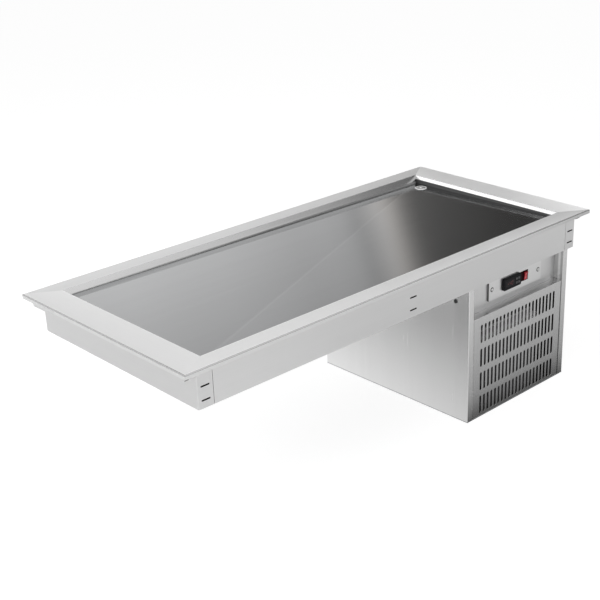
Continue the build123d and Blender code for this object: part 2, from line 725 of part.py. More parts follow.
def grille_panel():
    """Slotted front panel between the posts, folded back at the top into the recess shelf."""
    x0 = house_x0 + POST + GRILLE_GAP
    x1 = house_x1 - POST - GRILLE_GAP
    y0 = house_y0 + GRILLE_BACKSET
    foot = floor_z + BUTT_GAP
    solid = block(x0, x1, y0, recess_y - BUTT_GAP, foot, shelf_z)
    solid = fillet(edges_at(solid, Axis.X, Y=y0, Z=shelf_z), POST_BEND)
    solid -= block(x0 + SHEET, x1 - SHEET, y0 + SHEET, recess_y, foot, shelf_z - SHEET)
    solid -= block(x0, x1, y0 + GRILLE_RETURN, recess_y, foot, shelf_z - SHEET)
    rows = int((shelf_z - POST_BEND - house_foot - GRILLE_LOWEST - GRILLE_SLOT / 2) / GRILLE_PITCH_Z) + 1
    columns = int((x1 - x0 - 2 * GRILLE_MARGIN - GRILLE_SLOT_WIDTH) / GRILLE_PITCH_X) + 1
    middle = house_foot + GRILLE_LOWEST + GRILLE_PITCH_Z * (rows - 1) / 2
    front = Plane((house_mid, y0, middle), x_dir=(1, 0, 0), z_dir=(0, -1, 0))
    slots = Sketch()
    for place in GridLocations(GRILLE_PITCH_X, GRILLE_PITCH_Z, columns, rows):
        slots += place * Rot(0, 0, 90) * canted_slot(GRILLE_SLOT, GRILLE_SLOT_WIDTH)
    return solid - extrude(front * slots, amount=2 * SHEET, both=True)


def recess_panel():
    """Wall behind the controls, from the tank down to behind the grille."""
    x0 = house_x0 + SHEET + BUTT_GAP
    x1 = house_x1 - SHEET - BUTT_GAP
    solid = block(x0, x1, recess_y, recess_y + SHEET, shelf_z - RECESS_SKIRT, house_top)
    solid += side_flanges(recess_y + SHEET, 1, shelf_z - RECESS_SKIRT)
    solid -= control_cutouts(recess_y, 2 * HOLE_GAP)
    for x in control_screw_places():
        solid -= flatted_hole((x, recess_y, control_z), (0, 1, 0), CONTROL_SCREW_SHANK + SHAFT_GAP, SHEET)
    return solid


def control_screw_places():
    """X of the two screws in the control plate."""
    reach = CONTROL_WIDTH / 2 - CONTROL_SCREW_INSET
    return [control_x - reach, control_x + reach]


def control_cutouts(y, gap):
    """Openings for the thermostat and the switch, cut back from a plane."""
    cuts = Part()
    sizes = (
        (thermostat_x, THERMOSTAT_BODY_WIDTH, THERMOSTAT_BODY_HEIGHT),
        (switch_x, SWITCH_BODY_WIDTH, SWITCH_BODY_HEIGHT),
    )
    for x, width, height in sizes:
        half_x = width / 2 + gap
        half_z = height / 2 + gap
        cuts += block(x - half_x, x + half_x, y, y + CONTROL_PROUD, control_z - half_z, control_z + half_z)
    return cuts


def control_plate():
    """Shallow tray that carries the controls, folded back on all four edges."""
    x0 = control_x - CONTROL_WIDTH / 2
    x1 = control_x + CONTROL_WIDTH / 2
    z0 = control_z - CONTROL_HEIGHT / 2
    z1 = control_z + CONTROL_HEIGHT / 2
    solid = block(x0, x1, control_y, recess_y, z0, z1)
    inset = CONTROL_SHEET
    solid -= block(x0 + inset, x1 - inset, control_y + inset, recess_y, z0 + inset, z1 - inset)
    solid -= control_cutouts(control_y, HOLE_GAP)
    for x in control_screw_places():
        start = (x, control_y, control_z)
        solid -= flatted_hole(start, (0, 1, 0), CONTROL_SCREW_SHANK + HOLE_GAP, CONTROL_SHEET)
    return solid


def control_plate_screws():
    """Pan-headed screws of the control plate."""
    screws = []
    for x in control_screw_places():
        start = (x, control_y, control_z)
        head = flatted(start, (0, -1, 0), CONTROL_SCREW_RADIUS, CONTROL_SCREW_HEAD)
        head = chamfer(head.faces().sort_by(Axis.Y)[0].edges(), SCREW_CHAMFER)
        shank = flatted(start, (0, 1, 0), CONTROL_SCREW_SHANK, CONTROL_SCREW_LENGTH)
        screws.append(head + shank)
    return screws


def button_places():
    """X and Z of the middles of the four buttons."""
    places = []
    for z in (BUTTON_PITCH_Z / 2, -BUTTON_PITCH_Z / 2):
        for x in (-BUTTON_PITCH_X / 2, BUTTON_PITCH_X / 2):
            places.append((thermostat_x + BUTTON_OFFSET + x, control_z + z))
    return places


def thermostat_case():
    """Thermostat body with its front bezel, a window ledge and pockets for the buttons."""
    half_x = THERMOSTAT_WIDTH / 2
    half_z = THERMOSTAT_HEIGHT / 2
    bezel = block(
        thermostat_x - half_x, thermostat_x + half_x, bezel_y, control_y,
        control_z - half_z, control_z + half_z,
    )
    bezel = fillet(bezel.edges().filter_by(Axis.Y), THERMOSTAT_CORNER)
    bezel = chamfer(bezel.faces().sort_by(Axis.Y)[0].edges(), THERMOSTAT_BEVEL)
    body_x = THERMOSTAT_BODY_WIDTH / 2
    body_z = THERMOSTAT_BODY_HEIGHT / 2
    case = bezel + block(
        thermostat_x - body_x, thermostat_x + body_x, control_y, control_y + THERMOSTAT_BODY_DEPTH,
        control_z - body_z, control_z + body_z,
    )
    lens_x = thermostat_x + LENS_OFFSET
    case -= block(
        lens_x - LENS_WIDTH / 2, lens_x + LENS_WIDTH / 2, bezel_y, bezel_y + LENS,
        control_z - LENS_HEIGHT / 2, control_z + LENS_HEIGHT / 2,
    )
    depth = BUTTON_LENGTH - BUTTON_PROUD + BUTTON_TRAVEL_ROOM
    for x, z in button_places():
        pocket_x = BUTTON_WIDTH / 2 + SLIDE_GAP
        pocket_z = BUTTON_HEIGHT / 2 + SLIDE_GAP
        case -= block(x - pocket_x, x + pocket_x, bezel_y, bezel_y + depth, z - pocket_z, z + pocket_z)
    return case


def thermostat_lens():
    """Dark display window, flush in the bezel."""
    half_x = LENS_WIDTH / 2 - HOLE_GAP
    half_z = LENS_HEIGHT / 2 - HOLE_GAP
    x = thermostat_x + LENS_OFFSET
    return block(x - half_x, x + half_x, bezel_y, bezel_y + LENS, control_z - half_z, control_z + half_z)


def thermostat_button(x, z):
    """Push button with a softened face."""
    front = bezel_y - BUTTON_PROUD
    half_x = BUTTON_WIDTH / 2
    half_z = BUTTON_HEIGHT / 2
    button = block(x - half_x, x + half_x, front, front + BUTTON_LENGTH, z - half_z, z + half_z)
    return chamfer(button.faces().sort_by(Axis.Y)[0].edges(), BUTTON_BEVEL)


def switch_frame():
    """Body of the rocker switch: a bezel, a closed body and the pocket for the rocker."""
    half_x = SWITCH_WIDTH / 2
    half_z = SWITCH_HEIGHT / 2
    frame = block(
        switch_x - half_x, switch_x + half_x, switch_y, control_y, control_z - half_z, control_z + half_z,
    )
    frame = chamfer(frame.faces().sort_by(Axis.Y)[0].edges(), SWITCH_BEVEL)
    body_x = SWITCH_BODY_WIDTH / 2
    body_z = SWITCH_BODY_HEIGHT / 2
    frame += block(
        switch_x - body_x, switch_x + body_x, control_y, control_y + SWITCH_BODY_DEPTH,
        control_z - body_z, control_z + body_z,
    )
    open_x = SWITCH_OPENING_WIDTH / 2
    open_z = SWITCH_OPENING_HEIGHT / 2
    frame -= block(
        switch_x - open_x, switch_x + open_x, switch_y, switch_y + SWITCH_POCKET,
        control_z - open_z, control_z + open_z,
    )
    reach = ROCKER_WIDTH / 2 + ROCKER_PIN + SHAFT_GAP
    start = (switch_x - reach, pivot_y, control_z)
    return frame - rod(start, (1, 0, 0), ROCKER_PIN_RADIUS + SHAFT_GAP, 2 * reach)


def switch_rocker():
    """Rocker with two dished halves on stub pins, tipped onto its lower stop."""
    out = switch_y - ROCKER_END_PROUD
    middle = switch_y - ROCKER_MIDDLE_PROUD
    left = switch_x - ROCKER_WIDTH / 2
    low = (left, pivot_y, control_z - ROCKER_HALF)
    high = (left, pivot_y, control_z + ROCKER_HALF)
    outline = [
        high,
        (left, out, control_z + ROCKER_HALF),
        (left, middle, control_z),
        (left, out, control_z - ROCKER_HALF),
        low,
        (left, pivot_y + ROCKER_BELLY, control_z - ROCKER_HALF / 2),
        (left, pivot_y + ROCKER_BELLY, control_z + ROCKER_HALF / 2),
    ]
    rocker = prism(outline, (1, 0, 0), ROCKER_WIDTH)
    reach = ROCKER_WIDTH / 2 + ROCKER_PIN
    rocker += rod((switch_x - reach, pivot_y, control_z), (1, 0, 0), ROCKER_PIN_RADIUS, 2 * reach)
    return rocker.rotate(Axis((switch_x, pivot_y, control_z), (1, 0, 0)), ROCKER_TILT)


def condenser_core():
    """Fin block: upright fins along the front of a core that holds the tubes."""
    core = block(condenser_x0, condenser_x1, condenser_y0, condenser_y1, condenser_z0, condenser_z1)
    gaps = int((condenser_x1 - condenser_x0 - FIN) / FIN_PITCH)
    first = house_mid - (gaps - 1) * FIN_PITCH / 2
    half = (FIN_PITCH - FIN) / 2
    cuts = []
    for i in range(gaps):
        x = first + i * FIN_PITCH
        back = condenser_y0 + FIN_REACH
        cuts.append(block(x - half, x + half, condenser_y0, back, condenser_z0, condenser_z1))
    return core - cuts


def condenser_row(i):
    """Height of a tube row in the condenser."""
    pitch = condenser_height / COND_ROWS
    return condenser_z0 + pitch * (i + 0.5)


def condenser_bends():
    """Return bends at both ends of the condenser, joining its tube rows in turn."""
    y = (condenser_y0 + condenser_y1) / 2
    bends = []
    for start, x, way in ((0, condenser_x0, -1), (1, condenser_x1, 1)):
        for i in range(start, COND_ROWS - 1, 2):
            z0 = condenser_row(i)
            z1 = condenser_row(i + 1)
            out = x + way * (z1 - z0) / 2
            points = [(x, y, z0), (out, y, z0), (out, y, z1), (x, y, z1)]
            bends.append(tube(points, COND_TUBE_RADIUS, COND_TUBE_BEND))
    return bends


def fan_shroud():
    """Open box behind the condenser that leads the air into the round fan collar."""
    solid = block(condenser_x0, condenser_x1, condenser_y1, shroud_y1, condenser_z0, condenser_z1)
    solid -= block(
        condenser_x0 + SHEET, condenser_x1 - SHEET, condenser_y1, shroud_y1 - SHEET,
        condenser_z0 + SHEET, condenser_z1 - SHEET,
    )
    centre = (house_mid, shroud_y1 - SHEET, fan_z)
    length = COLLAR_LENGTH + SHEET
    solid += flatted_hole(centre, (0, 1, 0), collar_radius + SHEET, length, COLLAR_SIDES)
    return solid - flatted_hole(centre, (0, 1, 0), collar_radius, length, COLLAR_SIDES)


def fan_rotor():
    """Axial fan: a hub with pitched blades, bored for the motor shaft."""
    back = (0, 0, -FAN_HUB_LENGTH / 2)
    hub = flatted(back, (0, 0, 1), FAN_HUB_RADIUS, FAN_HUB_LENGTH, BARREL_SIDES)
    root = FAN_HUB_RADIUS - FAN_BLADE
    plan = Polyline(
        (root, FAN_ROOT_CHORD / 2),
        (root, -FAN_ROOT_CHORD / 2),
        (fan_radius * cos(radians(FAN_LAG)), -fan_radius * sin(radians(FAN_LAG))),
    )
    lead = (fan_radius * cos(radians(FAN_LEAD)), fan_radius * sin(radians(FAN_LEAD)))
    tip = RadiusArc(plan @ 1, lead, -fan_radius)
    edge = Line(lead, plan @ 0)
    blade = extrude(make_face(plan + tip + edge), amount=FAN_BLADE / 2, both=True)
    blade = Rot(FAN_PITCH, 0, 0) * blade
    fan = hub
    for place in PolarLocations(0, FAN_BLADES):
        fan += place * blade
    bore = MOTOR_SHAFT_RADIUS + SHAFT_GAP
    fan -= rod(back, (0, 0, 1), bore, MOTOR_SHAFT_IN_HUB + SLIDE_GAP)
    return Pos(house_mid, fan_y, fan_z) * Rot(90, 0, 0) * fan


def fan_motor():
    """Closed fan motor with its shaft."""
    body = flatted((house_mid, motor_y0, fan_z), (0, 1, 0), MOTOR_RADIUS, MOTOR_LENGTH, BARREL_SIDES)
    reach = MOTOR_GAP + MOTOR_SHAFT_IN_HUB
    tip = (house_mid, motor_y0 - reach, fan_z)
    return body + rod(tip, (0, 1, 0), MOTOR_SHAFT_RADIUS, reach + MOTOR_LENGTH / 2)


def fan_bracket():
    """Cross of two straps behind the motor, on four legs from the shroud."""
    slope = hypot(BRACKET_LEG_X, BRACKET_LEG_Z)
    bracket = Part()
    for x, z in ((BRACKET_LEG_X, BRACKET_LEG_Z), (BRACKET_LEG_X, -BRACKET_LEG_Z)):
        plane = Plane((house_mid, motor_y1, fan_z), x_dir=(x, 0, z), z_dir=(0, 1, 0))
        arm = plane * Rectangle(2 * slope + BRACKET_ARM_WIDTH, BRACKET_ARM_WIDTH)
        bracket += extrude(arm, BRACKET)
        for way in (-1, 1):
            start = (house_mid + way * x, shroud_y1, fan_z + way * z)
            bracket += flatted(start, (0, 1, 0), BRACKET_LEG_RADIUS, motor_y1 - shroud_y1)
    return bracket


def compressor():
    """Compressor shell with a coned top, its foot plate and two port stubs."""
    start = (compressor_x, compressor_y, shell_z)
    side = COMPRESSOR_HEIGHT - COMPRESSOR_CONE
    shell = flatted(start, (0, 0, 1), COMPRESSOR_RADIUS, side, BARREL_SIDES)
    shoulder = shell.faces().sort_by(Axis.Z)[-1]
    shell += extrude(shoulder, COMPRESSOR_CONE, taper=COMPRESSOR_TAPER)
    plate = block(
        compressor_x - FOOT_WIDTH / 2, compressor_x + FOOT_WIDTH / 2,
        compressor_y - FOOT_DEPTH / 2, compressor_y + FOOT_DEPTH / 2, foot_z, shell_z,
    )
    plate = chamfer(edges_at(plate, Axis.Z), GROMMET_RADIUS)
    for x, y in foot_places():
        plate -= flatted_hole((x, y, foot_z), (0, 0, 1), FOOT_BOLT_RADIUS + HOLE_GAP, FOOT_PLATE)
    shell += plate
    for y, z in ((SUCTION_PORT_Y, SUCTION_PORT_Z), (DISCHARGE_PORT_Y, DISCHARGE_PORT_Z)):
        start = (compressor_x, compressor_y + y, shell_z + z)
        shell += flatted(start, (1, 0, 0), PORT_RADIUS, COMPRESSOR_RADIUS + PORT_REACH)
    return shell


def foot_places():
    """Corners of the compressor foot plate where it is bolted."""
    places = []
    for x in (-FOOT_BOLT_X, FOOT_BOLT_X):
        for y in (-FOOT_BOLT_Y, FOOT_BOLT_Y):
            places.append((compressor_x + x, compressor_y + y))
    return places


def compressor_grommets():
    """Rubber mounts between the base and the foot plate."""
    mounts = []
    for x, y in foot_places():
        mount = flatted((x, y, floor_z), (0, 0, 1), GROMMET_RADIUS, GROMMET_HEIGHT)
        bore = flatted_hole((x, y, floor_z), (0, 0, 1), FOOT_BOLT_RADIUS + HOLE_GAP, GROMMET_HEIGHT)
        mounts.append(mount - bore)
    return mounts


def compressor_bolts():
    """Bolts down through the foot plate and the rubber mounts into the base."""
    bolts = []
    for x, y in foot_places():
        head = hex_bar((x, y, shell_z), (0, 0, 1), FOOT_BOLT_HEAD_RADIUS, FOOT_BOLT_HEAD)
        shank = shell_z - house_foot - BUTT_GAP
        bolts.append(head + flatted((x, y, shell_z), (0, 0, -1), FOOT_BOLT_RADIUS, shank))
    return bolts


def compressor_terminal_cover():
    """Cover over the compressor terminals, hollowed to the round of the shell."""
    half = TERMINAL_COVER_WIDTH / 2
    z0 = shell_z + TERMINAL_COVER_Z - TERMINAL_COVER_HEIGHT / 2
    x0 = compressor_x - COMPRESSOR_RADIUS - TERMINAL_COVER_DEPTH
    cover = block(
        x0, compressor_x - COMPRESSOR_RADIUS / 2, compressor_y - half, compressor_y + half,
        z0, z0 + TERMINAL_COVER_HEIGHT,
    )
    cover = chamfer(edges_at(cover, Axis.Z, X=x0), TERMINAL_COVER_BEVEL)
    clear = COMPRESSOR_RADIUS + BUTT_GAP
    start = (compressor_x, compressor_y, floor_z)
    return cover - flatted(start, (0, 0, 1), clear, HOUSING_HEIGHT, BARREL_SIDES)


def filter_drier():
    """Filter drier: a drawn cylinder with necked ends, lying along Y."""
    x = house_x1 - DRIER_FROM_RIGHT
    z = house_top - DRIER_DROP
    half = DRIER_LENGTH / 2
    length = DRIER_LENGTH - 2 * DRIER_NECK
    body = flatted((x, -half + DRIER_NECK, z), (0, 1, 0), DRIER_RADIUS, length, HEAD_SIDES)
    return body + flatted((x, -half, z), (0, 1, 0), LINE_RADIUS + SHEET, DRIER_LENGTH)


def suction_line():
    """Tube from the evaporator outlet down to the compressor."""
    port = compressor_x + COMPRESSOR_RADIUS + PORT_REACH
    y = compressor_y + SUCTION_PORT_Y
    z = shell_z + SUCTION_PORT_Z
    level = tail_foot - 3 * LINE_BEND
    middle = (port + tail_x) / 2
    points = [
        (tail_x, tail_y, tail_foot),
        (tail_x, tail_y, level),
        (tail_x, y, level),
        (middle, y, level),
        (middle, y, z),
        (port, y, z),
    ]
    return tube(points, TUBE_RADIUS, LINE_BEND)


def discharge_line():
    """Tube from the compressor to the top row of the condenser."""
    port = compressor_x + COMPRESSOR_RADIUS + PORT_REACH
    y = compressor_y + DISCHARGE_PORT_Y
    z = shell_z + DISCHARGE_PORT_Z
    inlet = condenser_row(COND_ROWS - 1)
    inlet_y = (condenser_y0 + condenser_y1) / 2
    points = [
        (port, y, z),
        (lane_x, y, z),
        (lane_x, y, inlet),
        (lane_x, inlet_y, inlet),
        (condenser_x1, inlet_y, inlet),
    ]
    return tube(points, LINE_RADIUS, LINE_BEND)


def liquid_line():
    """Tube from the bottom row of the condenser up to the filter drier."""
    outlet = condenser_row(0)
    outlet_y = (condenser_y0 + condenser_y1) / 2
    drier_x = house_x1 - DRIER_FROM_RIGHT
    drier_z = house_top - DRIER_DROP
    turn = -DRIER_LENGTH / 2 - 3 * LINE_BEND
    points = [
        (condenser_x1, outlet_y, outlet),
        (lane_x, outlet_y, outlet),
        (lane_x, turn, outlet),
        (lane_x, turn, drier_z),
        (drier_x, turn, drier_z),
        (drier_x, -DRIER_LENGTH / 2, drier_z),
    ]
    return tube(points, LINE_RADIUS, LINE_BEND)


def capillary_tube():
    """Thin tube from the filter drier to the evaporator inlet."""
    x = house_x1 - DRIER_FROM_RIGHT
    z = house_top - DRIER_DROP
    level = tail_foot - 3 * LINE_BEND
    points = [
        (x, DRIER_LENGTH / 2, z),
        (x, DRIER_LENGTH / 2 + 3 * LINE_BEND, z),
        (x, DRIER_LENGTH / 2 + 3 * LINE_BEND, level),
        (x, -tail_y, level),
        (tail_x, -tail_y, level),
        (tail_x, -tail_y, tail_foot),
    ]
    return tube(points, CAPILLARY_RADIUS, CAPILLARY_BEND)


def electrical_box():
    """Closed box for the wiring behind the recess, with a groove round its lid."""
    x0 = control_x + CONTROL_WIDTH / 2 + BOX_FROM_PLATE
    x1 = house_x1 - BOX_FROM_RIGHT
    y0 = recess_y + SHEET
    z0 = control_z - BOX_HEIGHT / 2
    box = block(x0, x1, y0, y0 + BOX_DEPTH, z0, z0 + BOX_HEIGHT)
    lid = y0 + BOX_DEPTH - BOX_LID
    groove = block(x0, x1, lid, lid + BOX_GROOVE, z0, z0 + BOX_HEIGHT)
    inset = BOX_GROOVE / 2
    groove -= block(x0 + inset, x1 - inset, lid, lid + BOX_GROOVE, z0 + inset, z0 + BOX_HEIGHT - inset)
    return box - groove


def terminal_block():
    """Row of screw terminals on the back of the recess wall."""
    x0 = house_x0 + BLOCK_FROM_LEFT
    y0 = recess_y + SHEET
    z0 = control_z - BLOCK_HEIGHT / 2
    solid = block(x0, x0 + BLOCK_WIDTH, y0, y0 + BLOCK_DEPTH, z0, z0 + BLOCK_HEIGHT)
    pitch = BLOCK_WIDTH / BLOCK_POLES
    for i in range(BLOCK_POLES):
        x = x0 + (i + 0.5) * pitch
        solid -= block(
            x - pitch / 3, x + pitch / 3, y0 + BLOCK_DEPTH / 2, y0 + BLOCK_DEPTH,
            z0 + BLOCK_HEIGHT / 6, z0 + BLOCK_HEIGHT * 5 / 6,
        )
    return solid


def cable_gland():
    """Cable inlet through the back panel: threaded sleeve, hexagon and cap."""
    start = (house_x0 + GLAND_FROM_LEFT, house_y1, house_top - GLAND_DROP)
    body = flatted(start, (0, -1, 0), GLAND_RADIUS, GLAND_INSIDE, HEAD_SIDES)
    body += hex_bar(start, (0, 1, 0), GLAND_HEX_RADIUS, GLAND_REACH / 3)
    body += flatted(start, (0, 1, 0), GLAND_RADIUS + SHEET, GLAND_REACH, HEAD_SIDES)
    inner = (start[0], start[1] - GLAND_INSIDE, start[2])
    return body - rod(inner, (0, 1, 0), GLAND_BORE_RADIUS, GLAND_INSIDE + GLAND_REACH)


def cable_gland_nut():
    """Nut of the cable gland, inside the back panel."""
    start = (house_x0 + GLAND_FROM_LEFT, house_y1 - SHEET, house_top - GLAND_DROP)
    nut = hex_bar(start, (0, -1, 0), GLAND_HEX_RADIUS, GLAND_NUT)
    return nut - flatted_hole(start, (0, -1, 0), GLAND_RADIUS + SHAFT_GAP, GLAND_NUT, HEAD_SIDES)


long_strip = rim_strip(RIM_LENGTH, SIDE_BAND, END_BAND)
short_strip = rim_strip(RIM_WIDTH, END_BAND, SIDE_BAND)
left_stiffener = rim_stiffener()
left_end = tank_end()
front_side = tank_side()
left_panel = housing_side()
middle_plane = Plane.YZ.offset(house_mid)

nodes = {
    "rim_front": Pos(0, -half_width, 0) * long_strip,
    "rim_rear": Pos(0, half_width, 0) * Rot(0, 0, 180) * long_strip,
    "rim_left": Pos(-half_length, 0, 0) * Rot(0, 0, -90) * short_strip,
    "rim_right": Pos(half_length, 0, 0) * Rot(0, 0, 90) * short_strip,
    "rim_stiffener_left": left_stiffener,
    "rim_stiffener_right": mirror(left_stiffener, about=Plane.YZ),
    "cold_plate": cold_plate(),
    "drain_flange": drain_flange(),
    "drain_strainer": drain_strainer(),
    "drain_screw": drain_screw(),
    "drain_locknut": drain_locknut(),
    "drain_elbow": drain_elbow(),
    "evaporator_coil": evaporator_coil(),
    "foam_insulation": foam_insulation(),
    "tank_left_end": left_end,
    "tank_right_end": mirror(left_end, about=Plane.YZ),
    "tank_front_panel": front_side,
    "tank_rear_panel": mirror(front_side, about=Plane.XZ),
    "tank_bottom": tank_bottom_sheet(),
    "housing_base": housing_base(),
    "housing_left_panel": left_panel,
    "housing_right_panel": mirror(left_panel, about=middle_plane),
    "housing_rear_panel": housing_rear(),
    "side_panel_screws": side_panel_screws(),
    "grille_panel": grille_panel(),
    "recess_panel": recess_panel(),
    "control_plate": control_plate(),
    "control_plate_screws": control_plate_screws(),
    "thermostat_case": thermostat_case(),
    "thermostat_lens": thermostat_lens(),
    "switch_frame": switch_frame(),
    "switch_rocker": switch_rocker(),
    "condenser_core": condenser_core(),
    "condenser_bends": condenser_bends(),
    "fan_shroud": fan_shroud(),
    "fan_rotor": fan_rotor(),
    "fan_motor": fan_motor(),
    "fan_bracket": fan_bracket(),
    "compressor": compressor(),
    "compressor_grommets": compressor_grommets(),
    "compressor_bolts": compressor_bolts(),
    "compressor_terminal_cover": compressor_terminal_cover(),
    "filter_drier": filter_drier(),
    "suction_line": suction_line(),
    "discharge_line": discharge_line(),
    "liquid_line": liquid_line(),
    "capillary_tube": capillary_tube(),
    "electrical_box": electrical_box(),
    "terminal_block": terminal_block(),
    "cable_gland": cable_gland(),
    "cable_gland_nut": cable_gland_nut(),
}
for number, (button_x, button_z) in enumerate(button_places(), start=1):
    nodes[f"thermostat_button_{number}"] = thermostat_button(button_x, button_z)

for name, shape in nodes.items():
    pieces = shape if isinstance(shape, list) else [shape]
    solids = [solid for piece in pieces for solid in piece.solids()]
    export_step(Compound(children=solids), f"parts/{name}.step")
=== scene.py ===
"""Looks of a drop-in cold plate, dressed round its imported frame. Lengths are in metres."""

import math

import bmesh
import bpy
from mathutils import Matrix, Vector


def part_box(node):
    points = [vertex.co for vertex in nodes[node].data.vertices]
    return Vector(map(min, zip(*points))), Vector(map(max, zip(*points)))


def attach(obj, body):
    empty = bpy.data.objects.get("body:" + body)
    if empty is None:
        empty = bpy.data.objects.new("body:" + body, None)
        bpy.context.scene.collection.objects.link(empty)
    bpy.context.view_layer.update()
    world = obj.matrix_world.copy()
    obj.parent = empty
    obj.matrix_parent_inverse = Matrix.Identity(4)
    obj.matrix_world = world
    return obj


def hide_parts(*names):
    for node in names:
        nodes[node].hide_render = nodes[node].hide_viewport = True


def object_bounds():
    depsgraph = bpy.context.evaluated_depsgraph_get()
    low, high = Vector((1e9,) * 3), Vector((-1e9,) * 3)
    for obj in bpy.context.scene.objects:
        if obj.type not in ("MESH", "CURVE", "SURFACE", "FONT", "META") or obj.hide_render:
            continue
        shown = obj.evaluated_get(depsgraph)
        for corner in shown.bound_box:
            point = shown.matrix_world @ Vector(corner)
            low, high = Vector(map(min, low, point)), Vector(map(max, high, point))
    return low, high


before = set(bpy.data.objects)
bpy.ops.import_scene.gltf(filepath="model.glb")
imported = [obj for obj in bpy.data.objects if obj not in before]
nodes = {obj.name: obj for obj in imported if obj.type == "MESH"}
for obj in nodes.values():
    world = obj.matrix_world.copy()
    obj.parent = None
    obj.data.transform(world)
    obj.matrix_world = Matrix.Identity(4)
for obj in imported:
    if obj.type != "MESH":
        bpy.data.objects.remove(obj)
cad_low, cad_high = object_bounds()
MM = 0.001
CABINET = "cabinet"
X = (1, 0, 0)
Y = (0, 1, 0)
Z = (0, 0, 1)
LEFT = (-1, 0, 0)
FRONT = (0, -1, 0)

# Camera of the photograph
CAMERA_PLACE = Vector((-2.0390, -2.1927, 1.1286))
CAMERA_AZIMUTH = -43.9087
CAMERA_ELEVATION = 22.9767
CAMERA_ROLL = -1.4433
CAMERA_LENS = 70.979
CAMERA_SHIFT = -0.08086

# Studio
FLOOR_SIZE = 60.0
FLOOR_GREY = 0.86
FLOOR_SHADOW_GREY = 0.35
FLOOR_GLOW = 0.80
FLOOR_IN_STEEL_GREY = 0.42
FLOOR_IN_STEEL_GLOW = 0.45
DOME_STRENGTH = 0.50

# Sheet metal of the rim, the well and the housing
SHEET = 1.2 * MM
LIP_BEND = 3.0 * MM
WELL_BEND = 2.0 * MM
POST_BEND = 2.0 * MM
HEM = 12.0 * MM
WALL_LEAN = math.radians(22.0)
LONG_WALL_FOOT = -2.2 * MM
END_WALL_FOOT = 1.2 * MM
PLATE_FALL = 8.0 * MM
JOINT_SINK = 1.0 * MM
LONG_WALL_SHARE = 0.5
END_WALL_SHARE = 0.0
JOINT_SETBACK = 0.9 * MM
JOINT_DEPTH = 2.4 * MM
GRILLE_SHEET = 0.8 * MM
GRILLE_MARGIN = 28.0 * MM
GRILLE_PITCH_X = 16.4 * MM
GRILLE_PITCH_Z = 73.0 * MM
GRILLE_SLOT = 55.0 * MM
GRILLE_SLOT_WIDTH = 8.6 * MM
GRILLE_LOWEST = 37.5 * MM
GRILLE_RETURN = 14.0 * MM
GRILLE_FOLD = 3.0 * MM
VENT_ROWS = 7
VENT_PITCH = 26.0 * MM
VENT_LENGTH = 300.0 * MM
VENT_WIDTH = 8.0 * MM
VENT_LOWEST = 60.0 * MM
DRAIN_HOLE_PLAY = 0.6 * MM
GLAND_HOLE = 20.4 * MM
REAR_FLANGE = 32.0 * MM
PUNCH_EASE = 0.2 * MM


# Shader helpers

def feed(tree, node, feeds):
    """Inputs of a node, each linked to a socket or set to a value."""
    for key, value in feeds.items():
        if isinstance(value, bpy.types.NodeSocket):
            tree.links.new(value, node.inputs[key])
        else:
            node.inputs[key].default_value = value


def add_node(tree, kind, feeds=None, **settings):
    """New shader node with its settings and what feeds its inputs."""
    node = tree.nodes.new("ShaderNode" + kind)
    for name, value in settings.items():
        setattr(node, name, value)
    feed(tree, node, feeds or {})
    return node


def node_material(name):
    """New material with its Principled shader, ready for nodes."""
    material = bpy.data.materials.new(name)
    material.use_nodes = True
    tree = material.node_tree
    return material, tree, tree.nodes["Principled BSDF"]


def bare_material(name):
    """New material with an empty node tree."""
    material, tree, _ = node_material(name)
    tree.nodes.clear()
    return material, tree


def group_tree(name, inputs, outputs):
    """Empty shader group with named sockets: its tree, what it is given and the node that ends it."""
    tree = bpy.data.node_groups.new(name, "ShaderNodeTree")
    for label, kind, value in inputs:
        socket = tree.interface.new_socket(label, in_out="INPUT", socket_type="NodeSocket" + kind)
        socket.default_value = value
    for label, kind in outputs:
        tree.interface.new_socket(label, in_out="OUTPUT", socket_type="NodeSocket" + kind)
    start = tree.nodes.new("NodeGroupInput")
    return tree, start.outputs, tree.nodes.new("NodeGroupOutput")


def use_group(tree, group, **values):
    """Group placed in a material at the piece's own coordinates, with its own values."""
    place = add_node(tree, "TexCoord").outputs["Object"]
    return add_node(tree, "Group", {"Place": place, **values}, node_tree=group)


def noise(tree, vector, scale, detail=2.0, roughness=0.5):
    """Noise texture read at a vector."""
    feeds = {"Vector": vector, "Scale": scale, "Detail": detail, "Roughness": roughness}
    return add_node(tree, "TexNoise", feeds).outputs["Fac"]


def calc(tree, operation, first, second):
    """One sum of two values."""
    return add_node(tree, "Math", {0: first, 1: second}, operation=operation).outputs[0]


def weighted(tree, first, weight, second):
    """Two values added, the second with the rest of the weight."""
    pairs = ((first, weight), (second, 1 - weight))
    return calc(tree, "ADD", *[calc(tree, "MULTIPLY", value, share) for value, share in pairs])


def dot(tree, first, second):
    """Dot product of two vectors."""
    return add_node(tree, "VectorMath", {0: first, 1: second}, operation="DOT_PRODUCT").outputs["Value"]


def scaled(tree, vector, factor):
    """Vector or colour times a factor."""
    return add_node(tree, "VectorMath", {0: vector, "Scale": factor}, operation="SCALE").outputs[0]


def spread(tree, value, low, high, to_low, to_high):
    """Value moved from one range to another."""
    return add_node(tree, "MapRange", dict(enumerate((value, low, high, to_low, to_high)))).outputs[0]


def grey(value, warm=0.0):
    """Near-neutral colour, warmer or cooler by a small share."""
    return (value * (1 + warm), value, value * (1 - warm), 1)


# Finishes

